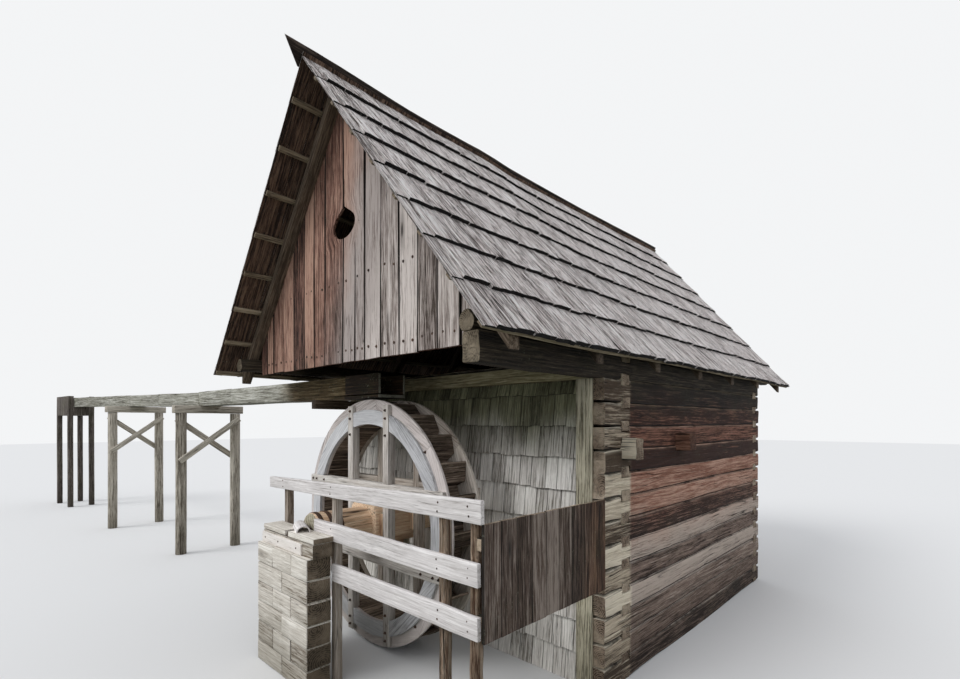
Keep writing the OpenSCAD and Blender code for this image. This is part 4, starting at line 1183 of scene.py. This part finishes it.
makeSole()
makeBuckets()
for node, name, material in (("near_arms", "nearArms", "arm"), ("far_arms", "farArms", "farRing"),
                             ("arm_wedges", "armWedges", "axle")):
    dress(name, [node], woods[material], "arm_wood", body="wheel", step=0.25, edge=0.005, bow=0.003,
          rough=0.0012, fray=0.003)
dress("wheelAxle", ["wheel_axle"], woods["axle"], "axle_wood", body="wheel", along=(0, 1, 0), step=0.10,
      edge=0.008, bow=0.002, rough=0.004, roughScale=6, fray=0.004)
dress("axleHoops", ["axle_hoops"], iron, "iron", body="wheel", along=(0, 1, 0), step=0.1, edge=0.0015,
      bow=0, rough=0, fray=0)


def makeGudgeons():   # the front one ends inside the block, under its cap
    bm = copyOf("gudgeons")
    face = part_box("bearing_timber")[0].y
    cutAway(bm, bm.verts[:], Vector((0, face + 0.02, 0)), Vector((0, -1, 0)))
    workTimbers(bm, along=(0, 1, 0), step=0.1, edge=0.004, bow=0, rough=0, fray=0)
    keep(bm, "gudgeons", iron, nodes=["gudgeons"], body="wheel")


makeGudgeons()


def driveWheelBolts():
    low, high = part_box("near_arms")
    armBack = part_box("far_arms")[1].y
    reachUp = (high.z - low.z) / 2
    reachSide = (high.x - low.x) / 2
    bm = copyOf("near_arms")
    middles = [middleOf(part) - hub for part in partsOf(bm)]
    bm.free()
    uprights = sorted(middle.x for middle in middles)
    levels = sorted(middle.z for middle in middles)
    spots = []
    for off in (uprights[0], uprights[-1]):
        for s in (-1, 1):
            for inset in wheel["boltInsets"]:
                spots.append((hub.x + off, hub.z + s * (reachUp - inset)))
    for off in (levels[0], levels[-1]):
        for s in (-1, 1):
            for inset in wheel["boltInsets"]:
                spots.append((hub.x + s * (reachSide - inset), hub.z + off))
    near = [(x, low.y - 0.001, z) for x, z in spots]
    far = [(x, armBack + 0.001, z) for x, z in spots]
    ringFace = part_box("near_ring")[0].y + wheel["outerLayer"] - 0.001
    for turn in wheel["jointTurns"][0::2]:
        for half in (0, 180):
            angle = math.radians(turn + half)
            x = hub.x + wheel["boltRing"] * math.cos(angle)
            z = hub.z + wheel["boltRing"] * math.sin(angle)
            near.append((x, ringFace, z))
    driveHeads(near, (0, -1, 0), 0.011, "nearBolts", body="wheel", washer=0.017)
    driveHeads(far, (0, 1, 0), 0.011, "farBolts", body="wheel", washer=0.017)


driveWheelBolts()
print("wheel made")

# Bearing block

block = {
    "plank": 0.052,                    # thickness of the plank on top of the timber
    "front": (0.80, 0.105, 0.025),     # the front plank's share of the width, height and thickness
    "frontPlace": (0.012, 0.008),      # its left end and lower edge, from the timber's
    "nails": (0.08, 0.36, 0.72),
    "nailHeight": 0.062,
    "seams": [(0.33, 0.70), (0.52,)],  # where the planks of every other course are cut
}


def makeBearingTimber():
    low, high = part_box("bearing_timber")
    bm = copyOf("bearing_timber")
    sawAll(bm, (0, 0, high.z - block["plank"]), (0, 0, 1), 0.004)
    workTimbers(bm, along=(1, 0, 0), step=0.12, crossStep=0.07, edge=0.008, bow=0.003, rough=0.004,
                fray=0.012)
    keep(bm, "bearingTimber", woods["block"], nodes=["bearing_timber"])
    bm = newBoards()
    share, tall, thick = block["front"]
    left, foot = block["frontPlace"]
    corner = (low.x + left, low.y + 0.003, low.z + foot + tall / 2)
    layPlank(bm, (high.x - low.x) * share, tall, (thick, thick), framed(corner, (1, 0, 0), (0, -1, 0)),
             cuts=(8, 3), ragged=(0.004, 0.006))
    keep(bm, "bearingFrontPlank", woods["blockPlank"])
    spots = [(low.x + (high.x - low.x) * at, low.y - thick + 0.002, low.z + block["nailHeight"])
             for at in block["nails"]]
    driveHeads(spots, (0, -1, 0), 0.010, "blockNails")


def makeBearingBase():
    low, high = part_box("bearing_base")
    bm = copyOf("bearing_base")
    levels = sorted((middleOf(part).z for part in partsOf(bm)), reverse=True)
    for i, level in enumerate(levels):

        def inCourse(part):
            return abs(middleOf(part).z - level) < 0.01

        for share in block["seams"][i % 2]:
            sawAll(bm, (low.x + (high.x - low.x) * share, 0, 0), (1, 0, 0), 0.006, choose=inCourse)
    workTimbers(bm, along=(1, 0, 0), step=0.12, crossStep=0.08, edge=0.010, bow=0.003, rough=0.005,
                fray=0.010)
    keep(bm, "bearingBase", woods["block"], nodes=["bearing_base"])


makeBearingTimber()
makeBearingBase()
dress("bearingCap", ["bearing_cap"], woods["rail"], "block_wood", step=0.08, edge=0.003, rough=0.002)
dress("innerBearing", ["inner_bearing"], woods["frame"], "block_wood", along=(0, 0, 1),
      step=0.2, edge=0.008)
print("bearing block made")

# Rails and fence

rails = {
    "names": ("top", "middle", "bottom"),
    "roundCorners": 10,    # a post with more corners than this in the CAD is a round one
    "nailLift": 0.035,     # distance of a post's two nails from the rail's middle
}
for name in rails["names"]:
    dress(name + "Rail", [name + "_rail"], woods["rail"], "rail_wood", step=0.10, crossStep=0.05,
          edge=0.006, bow=0.006, rough=0.003, fray=0.006)


def makeRailPosts():   # two are sawn square, two are round poles in their bark
    for name, isRound, material in (("squarePosts", False, "post"), ("roundPosts", True, "bark")):
        bm = copyOf("rail_posts")
        others = []
        for part in partsOf(bm):
            if (len(part) > rails["roundCorners"]) != isRound:
                others += part
        bmesh.ops.delete(bm, geom=others, context="VERTS")
        workTimbers(bm, along=(0, 0, 1), step=0.10, edge=0.004, bow=0.004,
                    rough=0.006 if isRound else 0.002, roughScale=9)
        keep(bm, name, woods[material], nodes=["rail_posts"] if isRound else [])


def heightOf(verts):
    heights = [vert.co.z for vert in verts]
    return (min(heights) + max(heights)) / 2


def nailRails():
    posts = copyOf("rail_posts")
    spots = []
    for post in [middleOf(part) for part in partsOf(posts)]:
        for name in rails["names"]:
            low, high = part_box(name + "_rail")
            if not low.x + 0.02 < post.x < high.x - 0.02:
                continue
            bm = copyOf(name + "_rail")
            halfway = (low.x + high.x) / 2
            near = [vert for vert in bm.verts if vert.co.y < low.y + 0.005]
            left = heightOf([vert for vert in near if vert.co.x < halfway])
            right = heightOf([vert for vert in near if vert.co.x > halfway])
            bm.free()
            middle = left + (right - left) * (post.x - low.x) / (high.x - low.x)
            for lift in (-rails["nailLift"], rails["nailLift"]):
                spots.append((post.x + chance.uniform(-0.012, 0.012), low.y + 0.001, middle + lift))
    posts.free()
    driveHeads(spots, (0, -1, 0), 0.009, "railNails")


makeRailPosts()
nailRails()
dress("boardFence", ["board_fence"], woods["fence"], "fence_wood", along=(0, 0, 1), step=0.12,
      edge=0.004, edgeSteps=1, bow=0.004, rough=0.0015, fray=0.006)
dress("fenceLedgers", ["fence_ledgers"], woods["fence"], "fence_wood", along=(0, 1, 0), step=0.3)
print("rails and fence made")

# Flume

flume = {
    "board": 0.035,                        # thickness of its bottom boards
    "nearJoints": [-0.875, -4.7],          # places along X where its side boards meet
    "outerJoints": [-8.6, -10.4, -12.8],
    "jointHeight": 3.0,
}


def makeFlume(node, name, joints):
    bm = copyOf(node)
    along = axesOf(bm.verts[:], None)[0]
    along = along if along.x > 0 else -along
    side = Vector((0, 0, 1)).cross(along).normalized()
    up = along.cross(side)
    bottom = min(vert.co.dot(up) for vert in bm.verts)
    sawAll(bm, up * (bottom + flume["board"]), up, 0.001)

    def isSide(part):
        return middleOf(part).dot(up) > bottom + flume["board"]

    for x in joints:
        sawAll(bm, (x, 0, flume["jointHeight"]), along, 0.004, choose=isSide)
    workTimbers(bm, along=along, step=0.2, crossStep=0.07, edge=0.004, bow=0.008, rough=0.003,
                fray=0.004)
    keep(bm, name, woods["flume"], nodes=[node])


makeFlume("near_flume", "nearFlume", flume["nearJoints"])
makeFlume("outer_flume", "outerFlume", flume["outerJoints"])
dress("flumePost", ["flume_post"], woods["post"], "flume_wood", along=(0, 0, 1), step=0.3)
dress("flumeBearer", ["flume_bearer"], woods["frame"], "flume_wood", along=(0, 1, 0), step=0.3)
for order in ("first", "second"):
    dress(order + "Trestle", [order + "_trestle"], woods["trestle"], "flume_wood", step=0.2,
          edge=0.008, rough=0.003)
dress("inletBox", ["inlet_box"], woods["inlet"], "flume_wood", along=(0, 0, 1), step=0.2, edge=0.005)
print("flume made")

# Studio


def seenDirectly(tree):   # 1 where the camera, a reflection or glass looks at a surface
    path = addNode(tree, "LightPath").outputs
    mirrored = calc(tree, "MAXIMUM", path["Is Glossy Ray"], path["Is Transmission Ray"])
    return calc(tree, "MAXIMUM", path["Is Camera Ray"], mirrored)


def makeStage():
    bm = bmesh.new()
    bmesh.ops.create_grid(bm, x_segments=1, y_segments=1, size=75)
    mesh = bpy.data.meshes.new("studioFloor")
    bm.to_mesh(mesh)
    bm.free()
    material = bpy.data.materials.new("studioFloor")
    material.use_nodes = True
    tree = material.node_tree
    shader = tree.nodes["Principled BSDF"]
    color = mixColor(tree, seenDirectly(tree), studio["floorBounce"] + (1,), studio["floor"] + (1,))
    tree.links.new(color, shader.inputs["Base Color"])
    shader.inputs["Roughness"].default_value = 1.0
    shader.inputs["Specular IOR Level"].default_value = 0.0
    mesh.materials.append(material)
    floor = bpy.data.objects.new("studioFloor", mesh)
    bpy.context.scene.collection.objects.link(floor)


def makeLights():
    world = bpy.data.worlds.new("studio")
    bpy.context.scene.world = world
    world.use_nodes = True
    tree = world.node_tree
    background = tree.nodes["Background"]
    sky = tuple(part * studio["skyLevel"] for part in studio["sky"]) + (1,)
    color = mixColor(tree, seenDirectly(tree), sky, studio["backdrop"] + (1,))
    tree.links.new(color, background.inputs["Color"])
    sun = bpy.data.lights.new("softSun", "SUN")
    sun.energy = studio["sunLevel"]
    sun.angle = math.radians(30)
    lamp = bpy.data.objects.new("softSun", sun)
    turn = Vector((0, 0, 1)).rotation_difference(Vector(studio["sunFrom"]).normalized())
    lamp.rotation_euler = turn.to_euler()
    bpy.context.scene.collection.objects.link(lamp)


makeCamera()
makeStage()
makeLights()
bpy.context.scene.view_settings.view_transform = "Standard"
